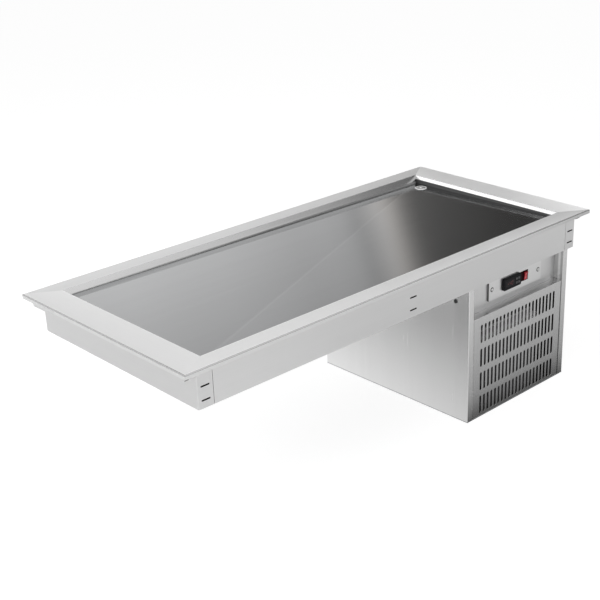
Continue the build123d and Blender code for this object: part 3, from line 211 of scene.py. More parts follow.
def finish_group(name, *extra):
    """Empty finish group: the sockets that every finish has, and its own."""
    inputs = [
        ("Place", "Vector", (0, 0, 0)), ("Light", "Color", grey(0.7)), ("Dark", "Color", grey(0.6)),
        ("Smoothest", "Float", 0.25), ("Roughest", "Float", 0.40), *extra,
    ]
    return group_tree(name, inputs, [("Colour", "Color"), ("Roughness", "Float"), ("Height", "Float")])


def end_finish(tree, given, end, share, dullness, height):
    """Outputs of a finish group: colour by a share, roughness by a value in its range, and a height."""
    mix = add_node(tree, "Mix", {0: share, 6: given["Dark"], 7: given["Light"]}, data_type="RGBA")
    roughness = spread(tree, *dullness, given["Smoothest"], given["Roughest"])
    feed(tree, end, {"Colour": mix.outputs[2], "Roughness": roughness, "Height": height})
    return tree


def brushed_group():
    """Rolled and brushed sheet: fine streaks along the grain, broad bands and faint wipe marks."""
    tree, given, end = finish_group("Brushed sheet", ("Stretch", "Vector", (8, 900, 900)))
    feeds = {0: given["Place"], 1: given["Stretch"]}
    stretched = add_node(tree, "VectorMath", feeds, operation="MULTIPLY").outputs[0]
    fine = noise(tree, stretched, 1.0, 3.0)
    broad = noise(tree, stretched, 0.06, 2.0)
    wiped = noise(tree, given["Place"], 7.0, 3.0, 0.6)
    share = spread(tree, weighted(tree, fine, 0.6, broad), 0.3, 0.7, 0.0, 1.0)
    worn = weighted(tree, share, 0.5, wiped)
    return end_finish(tree, given, end, share, (worn, 0.2, 0.8), fine)


def spangle_group():
    """Hot-dipped zinc: crystal patches of differing grey."""
    tree, given, end = finish_group("Zinc spangle")
    cells = add_node(tree, "TexVoronoi", {"Vector": given["Place"], "Scale": 90.0})
    patch = add_node(tree, "SeparateColor", {0: cells.outputs["Color"]}).outputs
    share = weighted(tree, patch[0], 0.7, noise(tree, given["Place"], 260.0, 3.0))
    return end_finish(tree, given, end, share, (patch[1], 0.0, 1.0), share)


def moulded_group():
    """Moulded or stoved skin: fine pebble, soft patches and rubbed spots."""
    tree, given, end = finish_group("Moulded skin", ("Pebble", "Float", 1500.0))
    pebble = noise(tree, scaled(tree, given["Place"], given["Pebble"]), 1.0, 2.0)
    patches = noise(tree, given["Place"], 35.0, 4.0, 0.6)
    share = weighted(tree, pebble, 0.35, patches)
    return end_finish(tree, given, end, share, (patches, 0.3, 0.7), pebble)


def shade_group():
    """Colour times a factor at one end of a range along a direction, as far as a mask lets it."""
    inputs = [
        ("Place", "Vector", (0, 0, 0)), ("Colour", "Color", grey(1.0)), ("Along", "Vector", X),
        ("From", "Float", 0.0), ("To", "Float", 1.0), ("Factor", "Float", 0.5), ("Mask", "Float", 1.0),
    ]
    tree, given, end = group_tree("Shaded band", inputs, [("Colour", "Color")])
    measure = dot(tree, given["Place"], given["Along"])
    share = spread(tree, measure, given["From"], given["To"], given["Factor"], 1.0)
    share = spread(tree, given["Mask"], 0.0, 1.0, 1.0, share)
    feed(tree, end, {"Colour": scaled(tree, given["Colour"], share)})
    return tree


GRAIN_LONG = 5.0
GRAIN_FINE = 700.0
brushed = brushed_group()
spangle = spangle_group()
moulded = moulded_group()
shade_band = shade_group()


def new_finish(name, group, light, dark, sheen, depth, shader_values, **own):
    """Material of a finish group between two colours and two roughnesses; depth is in millimetres."""
    material, tree, shader = node_material(name)
    values = {"Light": light, "Dark": dark, "Smoothest": sheen[0], "Roughest": sheen[1], **own}
    look = use_group(tree, group, **values).outputs
    bump = add_node(tree, "Bump", {"Strength": 1.0, "Distance": depth * MM, "Height": look["Height"]})
    feeds = {"Base Color": look["Colour"], "Roughness": look["Roughness"], "Normal": bump.outputs["Normal"]}
    feed(tree, shader, {**shader_values, **feeds})
    return material


def metal(name, group, light, dark, sheen, depth=0.02, **own):
    """Metal with a finish group."""
    return new_finish(name, group, light, dark, sheen, depth, {"Metallic": 1.0}, **own)


def steel(name, axis, light, sheen, contrast=0.03, warm=0.0, depth=0.006):
    """Stainless sheet with its grain along one axis."""
    stretch = [GRAIN_LONG if letter == axis else GRAIN_FINE for letter in "xyz"]
    colours = [grey(tone, warm) for tone in (light, light - contrast)]
    return metal(name, brushed, *colours, sheen, depth, Stretch=stretch)


def plastic(name, light, dark, sheen, depth=0.02, pebble=1500.0, coat=0.0, gloss=0.5):
    """Moulded plastic, rubber, paint or foam."""
    values = {"Coat Weight": coat, "Specular IOR Level": gloss}
    return new_finish(name, moulded, light, dark, sheen, depth, values, Pebble=pebble)


# Smoothest and roughest of the sheets
RIM_SHEEN = (0.44, 0.54)
WALL_SHEEN = (0.16, 0.24)
TANK_SHEEN = (0.32, 0.42)
HOUSING_SHEEN = (0.20, 0.28)

# The rim strips are one steel, and the well walls are one steel; their differing tones are painted light and
# shade: right strip and end walls paler, rear strip and long walls darker
rim_front_finish = steel("front rim steel", "x", 0.83, RIM_SHEEN)
rim_rear_finish = steel("rear rim steel", "x", 0.75, RIM_SHEEN)
rim_left_finish = steel("left rim steel", "y", 0.84, RIM_SHEEN)
rim_right_finish = steel("right rim steel", "y", 0.98, RIM_SHEEN)
long_wall_finish = steel("long well wall steel", "x", 0.64, WALL_SHEEN)
end_wall_finish = steel("end well wall steel", "y", 0.90, WALL_SHEEN)
# Darker steel for the lip's top bend and the grille's side folds: painted dark reflection and painted shade
bend_shade_finish = steel("bend steel in painted shade", "x", 0.52, (0.22, 0.30))
plate_finish = steel("plate steel", "x", 0.47, (0.08, 0.11), 0.02, -0.01, 0.002)
tank_side_finish = steel("tank side steel", "x", 0.78, TANK_SHEEN)
tank_end_finish = steel("tank end steel", "y", 0.76, TANK_SHEEN)
recess_finish = steel("recess steel", "x", 0.78, TANK_SHEEN)
housing_finish = steel("housing steel", "z", 0.74, HOUSING_SHEEN)
housing_side_finish = steel("housing side steel", "z", 0.85, HOUSING_SHEEN)
right_panel_finish = steel("right housing side steel", "z", 0.82, HOUSING_SHEEN)
control_finish = steel("control plate steel", "x", 0.86, (0.30, 0.40))
turned_finish = steel("turned steel", "z", 0.84, (0.14, 0.24), 0.04)
drain_finish = steel("drain steel", "z", 0.96, (0.42, 0.52))
screw_finish = metal("screw steel", moulded, grey(0.80), grey(0.70), (0.20, 0.32), 0.01)
# Side screw heads near black: painted shade
shaded_screw_finish = metal("screw steel in painted shade", moulded, grey(0.12), grey(0.07), (0.30, 0.45), 0.01)
zinc_finish = metal("galvanised steel", spangle, grey(0.44, -0.02), grey(0.32, -0.02), (0.34, 0.52))
copper_finish = metal("copper tube", moulded, (0.78, 0.42, 0.28, 1), (0.48, 0.22, 0.13, 1), (0.22, 0.42))
case_finish = plastic(
    "black case", (0.013, 0.013, 0.016, 1), (0.008, 0.008, 0.010, 1), (0.28, 0.42), gloss=0.1,
)
frame_finish = plastic(
    "dark red switch frame", (0.034, 0.002, 0.004, 1), (0.022, 0.001, 0.003, 1), (0.22, 0.34), gloss=0.05,
)
fan_finish = plastic("fan plastic", grey(0.030, -0.03), grey(0.018, -0.03), (0.34, 0.50))
fin_finish = plastic("dusty fin aluminium", grey(0.90), grey(0.78), (0.50, 0.70))
# Near-black painted shadow for parts deep behind the grille
shadow_black_finish = plastic("painted shadow black", grey(0.006), grey(0.003), (0.80, 0.95), gloss=0.05)
grey_finish = plastic("grey plastic", grey(0.40), grey(0.34), (0.34, 0.50))
lens_finish = plastic(
    "display window", (0.010, 0.008, 0.011, 1), (0.007, 0.006, 0.008, 1), (0.05, 0.09), 0.001, gloss=0.2,
)
key_finish = plastic("key plastic", grey(0.085, -0.04), grey(0.065, -0.04), (0.36, 0.50))
rocker_finish = plastic(
    "red rocker", (0.82, 0.028, 0.050, 1), (0.68, 0.020, 0.036, 1), (0.16, 0.28), 0.004, coat=0.4,
)
# Foam kept near black: painted shade in the pockets seen through the slots
foam_shade_finish = plastic(
    "insulation foam in painted shade", (0.05, 0.043, 0.03, 1), (0.03, 0.026, 0.018, 1), (0.80, 0.95), 0.3, 500.0, gloss=0.1,
)
paint_finish = plastic("black stove paint", grey(0.024), grey(0.016), (0.24, 0.38), 0.03, 700.0, coat=0.3)
rubber_finish = plastic("mount rubber", grey(0.030), grey(0.018), (0.62, 0.80), 0.04, 900.0)
# Joints under the well walls: painted shade in the gap; the long joint is pale at the left and darker to the
# right, as painted light and shade
long_joint_shade_finish = plastic("long joint in painted light and shade", grey(0.95), grey(0.88), (0.45, 0.60), 0.05, 600.0)
end_joint_shade_finish = plastic("end joint in painted shade", grey(0.075), grey(0.05), (0.45, 0.60), 0.05, 600.0)
mark_finish = plastic("pale print", (0.70, 0.36, 0.40, 1), (0.62, 0.30, 0.34, 1), (0.40, 0.55), 0.002)
key_mark_finish = plastic("key print", (0.18, 0.12, 0.135, 1), (0.14, 0.09, 0.105, 1), (0.40, 0.55), 0.002)


def lit_digits():
    """Red display segments that glow a little unevenly."""
    material, tree, shader = node_material("lit segments")
    light = (0.045, 0.009, 0.014, 1)
    dark = (0.032, 0.006, 0.010, 1)
    look = use_group(tree, moulded, Light=light, Dark=dark, Smoothest=0.3, Roughest=0.4).outputs
    glow = {"Emission Color": look["Colour"], "Emission Strength": 1.0}
    feed(tree, shader, {"Base Color": (0.12, 0.01, 0.01, 1), "Roughness": look["Roughness"], **glow})
    return material


digit_finish = lit_digits()


def shade(material, along, full_at, none_at, factor, facing=None):
    """Colour times a factor up to one place along a direction and plain from another; facing picks faces."""
    tree = material.node_tree
    shader = tree.nodes["Principled BSDF"]
    colour = shader.inputs["Base Color"].links[0].from_socket
    band = use_group(tree, shade_band, Colour=colour, Along=along, From=full_at, To=none_at, Factor=factor)
    feed(tree, shader, {"Base Color": band.outputs["Colour"]})
    if facing:
        look = dot(tree, add_node(tree, "TexCoord").outputs["Normal"], facing)
        feed(tree, band, {"Mask": spread(tree, look, 0.4, 0.6, 0.0, 1.0)})


# Range below the whole part, so that all of it has the full factor
EVERYWHERE = (-10.0, -11.0)
# Painted highlight along both sides of the plate's crease
CREASE_PAINTED_HIGHLIGHT = 1.06
CREASE_INSIDE = 1.0 * MM
CREASE_OUTSIDE = 7.0 * MM


def shade_finishes():
    """Painted light and shade: uneven light of the photograph that the studio lacks, and painted shade on
    edges.
    """
    # Painted shade: rim, wall and joint darker to the right
    shade(rim_front_finish, X, cad_high.x, cad_high.x / 2, 0.78)
    shade(long_wall_finish, X, 0.1, -0.6, 0.74)
    shade(long_joint_shade_finish, X, 0.0, -0.5, 0.42)
    # Painted shade on faces that look up: floors of the slots and the shelf
    shade(tank_side_finish, Z, *EVERYWHERE, 0.06, Z)
    shade(tank_end_finish, Z, *EVERYWHERE, 0.06, Z)
    shade(housing_finish, Z, *EVERYWHERE, 0.72, Z)
    # Painted light at the recess wall's foot; painted highlight on both sides of the plate's crease
    shelf_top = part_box("grille_panel")[1].z
    shade(recess_finish, Z, shelf_top, shelf_top + 14 * MM, 1.27)
    plate_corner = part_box("cold_plate")[1]
    across = Vector((-plate_corner.y, plate_corner.x, 0.0)).normalized()
    shade(plate_finish, across, -CREASE_INSIDE, -CREASE_OUTSIDE, CREASE_PAINTED_HIGHLIGHT)
    shade(plate_finish, across, CREASE_OUTSIDE, CREASE_INSIDE, 1 / CREASE_PAINTED_HIGHLIGHT)
    # Painted shade: control plate's left edge, recess corner, post, and the fins below their top
    control_low, control_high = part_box("control_plate")
    shade(control_finish, X, control_low.x + 0.1 * MM, control_low.x + 0.5 * MM, 0.15)
    recess = control_high.y
    shade(right_panel_finish, Y, recess - 12 * MM, recess - 16 * MM, 0.58, LEFT)
    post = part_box("housing_right_panel")[0].y
    shade(right_panel_finish, Y, post + 7 * MM, post + 10 * MM, 0.65, LEFT)
    core_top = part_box("condenser_core")[1].z
    shade(fin_finish, Z, core_top - 65 * MM, core_top - 50 * MM, 0.22)


NODE_FINISH = {
    "rim_steel": rim_rear_finish,
    "plate_steel": plate_finish,
    "tank_steel": tank_side_finish,
    "housing_steel": housing_finish,
    "galvanised": zinc_finish,
    "drain_steel": turned_finish,
    "fasteners": screw_finish,
    "dark_plastic": case_finish,
    "grey_plastic": grey_finish,
    "display": lens_finish,
    "keys": key_finish,
    "red_plastic": rocker_finish,
    "foam": foam_shade_finish,
    "copper": copper_finish,
    "fins": fin_finish,
    "black_paint": paint_finish,
    "rubber": rubber_finish,
}
NODE_SPECIAL = {
    "tank_left_end": tank_end_finish,
    "tank_right_end": tank_end_finish,
    "rim_stiffener_left": tank_end_finish,
    "rim_stiffener_right": tank_end_finish,
    "control_plate": control_finish,
    "recess_panel": recess_finish,
    "housing_left_panel": housing_side_finish,
    "housing_right_panel": right_panel_finish,
    # Fan shroud in near-black painted shadow
    "fan_shroud": shadow_black_finish,
    "switch_frame": frame_finish,
    "cable_gland_nut": fan_finish,
}
TANK_PANELS = ("tank_front_panel", "tank_rear_panel", "tank_left_end", "tank_right_end")
# Widths of the eased edges, in millimetres
EDGE = 0.35
NODE_EDGE = {
    **dict.fromkeys(TANK_PANELS, 0.08),
    "cold_plate": 0.8,
    "thermostat_case": 0.5,
    "thermostat_lens": 0.25,
    "switch_frame": 0.4,
    "control_plate": 0.6,
    "compressor_terminal_cover": 2.5,
    "electrical_box": 1.2,
    "terminal_block": 0.5,
    "drain_locknut": 0.8,
    "cable_gland_nut": 0.6,
    "fan_bracket": 0.5,
}
ROUND_TUBES = (
    "evaporator_coil", "condenser_bends", "suction_line", "discharge_line", "liquid_line", "capillary_tube",
)


def modify(node, name, kind, **settings):
    """Modifier added to a node."""
    step = node.modifiers.new(name, kind)
    for label, value in settings.items():
        setattr(step, label, value)


def soften(name, node):
    """Small radius on every sharp edge of a CAD node."""
    width = NODE_EDGE.get(name, EDGE) * MM
    modify(
        node, "eased edges", "BEVEL", width=width, segments=2, limit_method="ANGLE",
        angle_limit=math.radians(30),
    )
    if name == "cold_plate":
        modify(node, "crisp crease", "EDGE_SPLIT", split_angle=math.radians(0.15))
    else:
        modify(node, "even shading", "WEIGHTED_NORMAL", keep_sharp=False)


def dress_nodes():
    """Finish and edges for every CAD node, with its split faces joined and its flat faces made whole."""
    for name, node in nodes.items():
        slot = node.data.materials[0].name
        node.data.materials.clear()
        node.data.materials.append(NODE_SPECIAL.get(name, NODE_FINISH[slot]))
        modify(node, "join faces", "WELD", merge_threshold=0.002 * MM)
        modify(node, "whole faces", "DECIMATE", decimate_type="DISSOLVE", angle_limit=math.radians(0.3))
        if name in ROUND_TUBES:
            modify(node, "round tube", "SUBSURF", levels=2, render_levels=2)
        else:
            soften(name, node)


# Mesh helpers

# Point of a flat outline at a depth along each axis
LIFT = {
    "x": lambda u, v, depth: (depth, u, v),
    "y": lambda u, v, depth: (u, depth, v),
    "z": lambda u, v, depth: (u, v, depth),
}
SAME_PLACE = 1e-7


def placed(name, data):
    """New object in the scene."""
    thing = bpy.data.objects.new(name, data)
    bpy.context.scene.collection.objects.link(thing)
    return thing


def mesh_data(name, mesh):
    """Mesh builder turned into a mesh of its own."""
    data = bpy.data.meshes.new(name)
    mesh.to_mesh(data)
    mesh.free()
    return data


def piece(name, mesh, finish, replaced=None, body=CABINET, smooth=35.0):
    """New piece from a mesh builder, with its finish, body and the node that it stands for."""
    bmesh.ops.recalc_face_normals(mesh, faces=mesh.faces)
    data = mesh_data(name, mesh)
    data.shade_smooth()
    data.set_sharp_from_angle(angle=math.radians(smooth))
    data.materials.append(finish)
    thing = placed(name, data)
    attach(thing, body)
    if replaced:
        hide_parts(replaced)
    return thing


def middle_of(low, high):
    """Middle between two corners."""
    return [(a + b) / 2 for a, b in zip(low, high)]


def stand(origin, direction):
    """Matrix that moves to a place and turns local Z onto a direction."""
    turn = Vector(Z).rotation_difference(Vector(direction))
    return Matrix.Translation(origin) @ turn.to_matrix().to_4x4()


def loft(mesh, rings, closed=False):
    """Faces between rings of vertices; a ring of one vertex is a point."""
    pairs = list(zip(rings, rings[1:]))
    if closed:
        pairs.append((rings[-1], rings[0]))
    for first, second in pairs:
        count = max(len(first), len(second))
        for i in range(count):
            j = (i + 1) % count
            corners = [first[i % len(first)], first[j % len(first)]]
            corners += [second[j % len(second)], second[i % len(second)]]
            unique = list(dict.fromkeys(corners))
            if len(unique) > 2:
                mesh.faces.new(unique)


def circle(mesh, place, radius, height, sides):
    """Ring of vertices round a place's own Z axis."""
    ring = []
    for i in range(sides):
        angle = 2 * math.pi * i / sides
        point = Vector((radius * math.cos(angle), radius * math.sin(angle), height))
        ring.append(mesh.verts.new(place @ point))
    return ring


def turned(mesh, profile, origin, direction=Z, sides=40, closed=False):
    """Turned shape: profile of radius and height pairs round an axis."""
    place = stand(origin, direction)
    rings = []
    for radius, height in profile:
        rings.append(circle(mesh, place, radius, height, 1 if radius < SAME_PLACE else sides))
    loft(mesh, rings, closed)


def ellipse(centre_u, centre_v, radius_u, radius_v, turns):
    """Points of an ellipse in a flat section, at angles in degrees."""
    angles = [math.radians(turn) for turn in turns]
    return [(centre_u + radius_u * math.cos(a), centre_v + radius_v * math.sin(a)) for a in angles]


def arc(centre_u, centre_v, radius, start, stop, steps=5):
    """Points of an arc in a flat section, angles in degrees."""
    turns = [start + (stop - start) * i / steps for i in range(steps + 1)]
    return ellipse(centre_u, centre_v, radius, radius, turns)


def corner_arcs(middle_u, middle_v, run_u, run_v, radius, steps):
    """Four quarter arcs, each a run away from the middle."""
    points = []
    for turn, way_u, way_v in ((0, 1, 1), (90, -1, 1), (180, -1, -1), (270, 1, -1)):
        points += arc(middle_u + way_u * run_u, middle_v + way_v * run_v, radius, turn, turn + 90, steps)
    return points


def rectangle(u0, u1, v0, v1):
    """Outline of a rectangle."""
    return [(u0, v0), (u1, v0), (u1, v1), (u0, v1)]


def stadium(middle_u, middle_v, length_u, length_v, steps=6, grow=0.0):
    """Round-ended slot outline, or a circle where both lengths are the same."""
    half_u = length_u / 2 + grow
    half_v = length_v / 2 + grow
    radius = min(half_u, half_v)
    points = []
    for point in corner_arcs(middle_u, middle_v, half_u - radius, half_v - radius, radius, steps):
        if not points or math.dist(point, points[-1]) > SAME_PLACE:
            points.append(point)
    if math.dist(points[0], points[-1]) < SAME_PLACE:
        points.pop()
    return points


def prism(mesh, start_points, stop_points):
    """Solid between two matching closed outlines of 3-D points."""
    rings = [[mesh.verts.new(point) for point in points] for points in (start_points, stop_points)]
    loft(mesh, rings)
    cap(mesh, rings)


def cap(mesh, rings):
    """First and last ring closed with faces."""
    caps = [mesh.faces.new(rings[0]), mesh.faces.new(rings[-1])]
    bmesh.ops.triangulate(mesh, faces=caps, ngon_method="EAR_CLIP")


def extruded(mesh, outline, axis, start, stop):
    """Solid of one flat outline between two places along an axis."""
    ends = [[LIFT[axis](u, v, depth) for u, v in outline] for depth in (start, stop)]
    prism(mesh, *ends)


def bar(mesh, x0, x1, y0, y1, z0, z1, ease=0.4 * MM):
    """Straight bar along X with its long edges eased."""
    middle = ((y0 + y1) / 2, (z0 + z1) / 2)
    section = corner_arcs(*middle, (y1 - y0) / 2 - ease, (z1 - z0) / 2 - ease, ease, 2)
    extruded(mesh, section, "x", x0, x1)


def pierced_sheet(mesh, outline, holes, axis, front, back, flare=PUNCH_EASE):
    """Flat sheet with punched holes, each a slot's middle, lengths and steps, flared at the front."""
    way = 1 if back > front else -1
    rings = []
    for depth, grow, filled in (
        (front, flare, True), (front + way * PUNCH_EASE, 0.0, False), (back, 0.0, True),
    ):
        edges = []
        rows = []
        for points in [outline, *[stadium(*hole, grow) for hole in holes]]:
            verts = [mesh.verts.new(LIFT[axis](u, v, depth)) for u, v in points]
            edges += [mesh.edges.new((verts[i - 1], verts[i])) for i in range(len(verts))]
            rows.append(verts)
        if filled:
            bmesh.ops.triangle_fill(mesh, use_beauty=True, use_dissolve=False, edges=edges)
        rings.append(rows)
    for edge_rings in zip(*rings):
        loft(mesh, edge_rings)


def swept(mesh, path, radius, bore, sides=40):
    """Bored tube along a path of points."""
    path = [Vector(point) for point in path]
    side = (path[1] - path[0]).orthogonal().normalized()
    outer = []
    inner = []
    for i, point in enumerate(path):
        ahead = (path[min(i + 1, len(path) - 1)] - path[max(i - 1, 0)]).normalized()
        side = (side - ahead * side.dot(ahead)).normalized()
        other = ahead.cross(side)
        for rings, reach in ((outer, radius), (inner, bore)):
            ring = []
            for k in range(sides):
                angle = 2 * math.pi * k / sides
                spoke = math.cos(angle) * side + math.sin(angle) * other
                ring.append(mesh.verts.new(point + reach * spoke))
            rings.append(ring)
    loft(mesh, outer + inner[::-1], closed=True)


def hexagon(mesh, origin, direction, across, height, bore=0.0, ease=0.6 * MM):
    """Hexagonal nut or head with eased rims."""
    place = stand(origin, direction)
    radius = across / math.sqrt(3)
    levels = ((radius - ease, 0), (radius, ease), (radius, height - ease), (radius - ease, height))
    rings = [circle(mesh, place, reach, level, 6) for reach, level in levels]
    loft(mesh, rings)
    if not bore:
        mesh.faces.new(rings[0])
        mesh.faces.new(rings[-1])
        return
    inner = [circle(mesh, place, bore, level, 24) for level in (0, height)]
    loft(mesh, inner)
    for pair in ((rings[0], inner[0]), (rings[-1], inner[-1])):
        edges = []
        for loop in pair:
            edges += [mesh.edges.get((loop[i - 1], loop[i])) for i in range(len(loop))]
        bmesh.ops.triangle_fill(mesh, use_beauty=True, edges=edges)


def cut(mesh, cutter):
    """Mesh builder with another taken out of it."""
    pair = []
    for source in (mesh, cutter):
        bmesh.ops.recalc_face_normals(source, faces=source.faces)
        pair.append(placed("cutting", mesh_data("cutting", source)))
    modify(pair[0], "cut", "BOOLEAN", object=pair[1], operation="DIFFERENCE", solver="EXACT")
    bpy.context.view_layer.update()
    ready = pair[0].evaluated_get(bpy.context.evaluated_depsgraph_get())
    spare = [bpy.data.meshes.new_from_object(ready)]
    result = bmesh.new()
    result.from_mesh(spare[0])
    for thing in pair:
        spare.append(thing.data)
        bpy.data.objects.remove(thing)
    for data in spare:
        bpy.data.meshes.remove(data)
    return result


# Rim and well

half_length = cad_high.x
half_width = cad_high.y
lip_top = cad_high.z
plate_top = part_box("cold_plate")[1].z
well_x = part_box("rim_right")[0].x
well_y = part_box("rim_rear")[0].y
side_band = half_width - well_y
end_band = half_length - well_x


def rim_section(band, foot, joint_foot):
    """Closed section of a rim strip: hem, lip, band, bend, leaning well wall and the joint below it,
    coloured as painted shade.
    """
    lean = math.degrees(WALL_LEAN)
    lip = (LIP_BEND, lip_top - LIP_BEND)
    well = (band - WELL_BEND, lip_top - WELL_BEND)
    bend = arc(*well, WELL_BEND, 90, lean, 6)
    outer = [(HEM, 0.0), *arc(SHEET, SHEET, SHEET, 270, 180, 3), *arc(*lip, LIP_BEND, 180, 90, 6), *bend]
    edge = bend[-1][0] + (bend[-1][1] - foot) * math.tan(WALL_LEAN)
    outer += [(edge, foot), (edge - JOINT_SETBACK, foot), (edge - JOINT_SETBACK, joint_foot)]
    outer += [(edge - JOINT_DEPTH, joint_foot), (edge - JOINT_DEPTH, foot)]
    inner = [(HEM, SHEET), (SHEET, SHEET), *arc(*lip, LIP_BEND - SHEET, 180, 90, 6)]
    inner += arc(*well, WELL_BEND - SHEET, 90, lean, 6)
    inner.append((edge - SHEET / math.cos(WALL_LEAN), foot))
    return outer + inner[::-1]


def rim_strip(name, node, finish, along, way, fall):
    """One folded strip, mitred at both ends; the joint under its wall follows the plate to the drain."""
    if along == "x":
        length, depth, band, other, foot = half_length, half_width, side_band, end_band, LONG_WALL_FOOT
        share, finishes = LONG_WALL_SHARE, (long_wall_finish, long_joint_shade_finish, bend_shade_finish)
    else:
        length, depth, band, other, foot = half_width, half_length, end_band, side_band, END_WALL_FOOT
        share, finishes = END_WALL_SHARE, (end_wall_finish, end_joint_shade_finish, bend_shade_finish)

    def end(turn, drop):
        """Mitred outline at one end, where the plate has dropped so far."""
        points = []
        for u, z in rim_section(band, foot - share * drop, plate_top - JOINT_SINK - drop):
            t = turn * (length - other * min(u, band) / band - max(u - band, 0.0))
            across = way * (depth - u)
            points.append((t, across, z) if along == "x" else (across, t, z))
        return points

    mesh = bmesh.new()
    prism(mesh, end(-1, 0.0), end(1, fall))
    strip = piece(name, mesh, finish, node)
    for other_finish in finishes:
        strip.data.materials.append(other_finish)
    for face in strip.data.polygons:
        reach = depth - way * (face.center.y if along == "x" else face.center.x)
        # Joint faces under the wall: painted shade
        if face.center.z < foot - share * fall / 2 - JOINT_SINK / 2 and reach > band:
            face.material_index = 2
        elif reach > band - WELL_BEND:
            face.material_index = 1
        # Faces of the lip's top bend: darker steel, painted dark reflection
        elif reach < LIP_BEND and face.center.z > lip_top - LIP_BEND:
            face.material_index = 3


def make_rim():
    """Four strips of the rim."""
    rim_strip("front_rim_strip", "rim_front", rim_front_finish, "x", -1, 0.0)
    rim_strip("rear_rim_strip", "rim_rear", rim_rear_finish, "x", 1, PLATE_FALL)
    rim_strip("left_rim_strip", "rim_left", rim_left_finish, "y", -1, 0.0)
    rim_strip("right_rim_strip", "rim_right", rim_right_finish, "y", 1, PLATE_FALL)


# Drain

DRAIN_FLANGE = 2.5 * MM
DRAIN_BORE = 10.5 * MM
DRAIN_TAIL = 13.0 * MM
DRAIN_EASE = 0.4 * MM
STRAINER_PLAY = 0.3 * MM
# Holes, radius of their ring and their size
STRAINER_RINGS = ((8, 7.3 * MM, 3.2 * MM), (14, 11.2 * MM, 2.6 * MM))
SCREW_SLOT = 1.0 * MM
SCREW_SLOT_DEPTH = 0.9 * MM
ELBOW_BEND = 22.0 * MM
SPIGOT = 26.0 * MM
SPIGOT_TIP = 13.6 * MM
BARBS = 4
BARB_PITCH = 6.0
# Radius and height in millimetres
BARB = ((13.9, 0.4), (15.0, 1.2), (14.0, 5.6))


def make_drain():
    """Drain flange with a rounded ring, its strainer and the slotted screw that holds it."""
    low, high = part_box("drain_flange")
    x, y, _ = middle_of(low, high)
    radius = (high.x - low.x) / 2
    under = high.z - DRAIN_FLANGE
    grid_low, grid_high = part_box("drain_strainer")
    disc = (grid_high.x - grid_low.x) / 2
    seat = disc + STRAINER_PLAY
    mesh = bmesh.new()
    profile = [(DRAIN_BORE, low.z), (DRAIN_TAIL, low.z), (DRAIN_TAIL, under), (radius - DRAIN_EASE, under)]
    profile.append((radius, min(under + DRAIN_EASE, grid_low.z)))
    crown = high.z - grid_low.z
    profile += ellipse((radius + seat) / 2, grid_low.z, (radius - seat) / 2, crown, range(15, 180, 15))
    profile += [(seat, grid_low.z), (DRAIN_BORE, grid_low.z)]
    turned(mesh, profile, (x, y, 0), sides=64, closed=True)
    piece("drain_cup", mesh, drain_finish, "drain_flange")

    holes = []
    for count, ring, size in STRAINER_RINGS:
        turns = [360 * (i + 0.5) / count for i in range(count)]
        holes += [(u, v, size, size, 4) for u, v in ellipse(x, y, ring, ring, turns)]
    mesh = bmesh.new()
    outline = stadium(x, y, 2 * disc, 2 * disc, 16)
    pierced_sheet(mesh, outline, holes, "z", grid_high.z, grid_low.z, PUNCH_EASE / 2)
    piece("drain_grid", mesh, turned_finish, "drain_strainer")

    low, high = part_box("drain_screw")
    head = (high.x - low.x) / 2
    shoulder = grid_high.z
    mesh = bmesh.new()
    profile = [(0, low.z), (head / 2, low.z), (head / 2, shoulder), (head, shoulder)]
    profile += [*ellipse(0, shoulder, head, high.z - shoulder, (10, 30, 50, 70)), (0, high.z)]
    turned(mesh, profile, (x, y, 0), sides=32)
    slot = bmesh.new()
    sides = (x - 2 * head, x + 2 * head, y - SCREW_SLOT / 2, y + SCREW_SLOT / 2)
    bar(slot, *sides, high.z - SCREW_SLOT_DEPTH, high.z + 2 * MM, 0.05 * MM)
    piece("drain_cap_screw", cut(mesh, slot), screw_finish, "drain_screw")


def make_elbow():
    """Drain bend under the tank, with hose ridges on its spigot."""
    x, y, _ = middle_of(*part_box("drain_flange"))
    low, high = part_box("drain_elbow")
    outer = (high.x - low.x) / 2
    axis_z = low.z + outer
    start = (x, high.y - SPIGOT, axis_z)
    bend = arc(y + ELBOW_BEND, axis_z + ELBOW_BEND, ELBOW_BEND, 180, 270, 12)
    mesh = bmesh.new()
    swept(mesh, [(x, y, high.z), *[(x, v, w) for v, w in bend], start], outer, DRAIN_TAIL)
    ridges = [(DRAIN_TAIL, 0.0)]
    for barb in range(BARBS):
        ridges += [(radius * MM, (barb * BARB_PITCH + height) * MM) for radius, height in BARB]
    ridges += [(SPIGOT_TIP, SPIGOT), (DRAIN_TAIL, SPIGOT)]
    turned(mesh, ridges, start, Y, closed=True)
    piece("drain_bend", mesh, grey_finish, "drain_elbow")


# Housing sheets

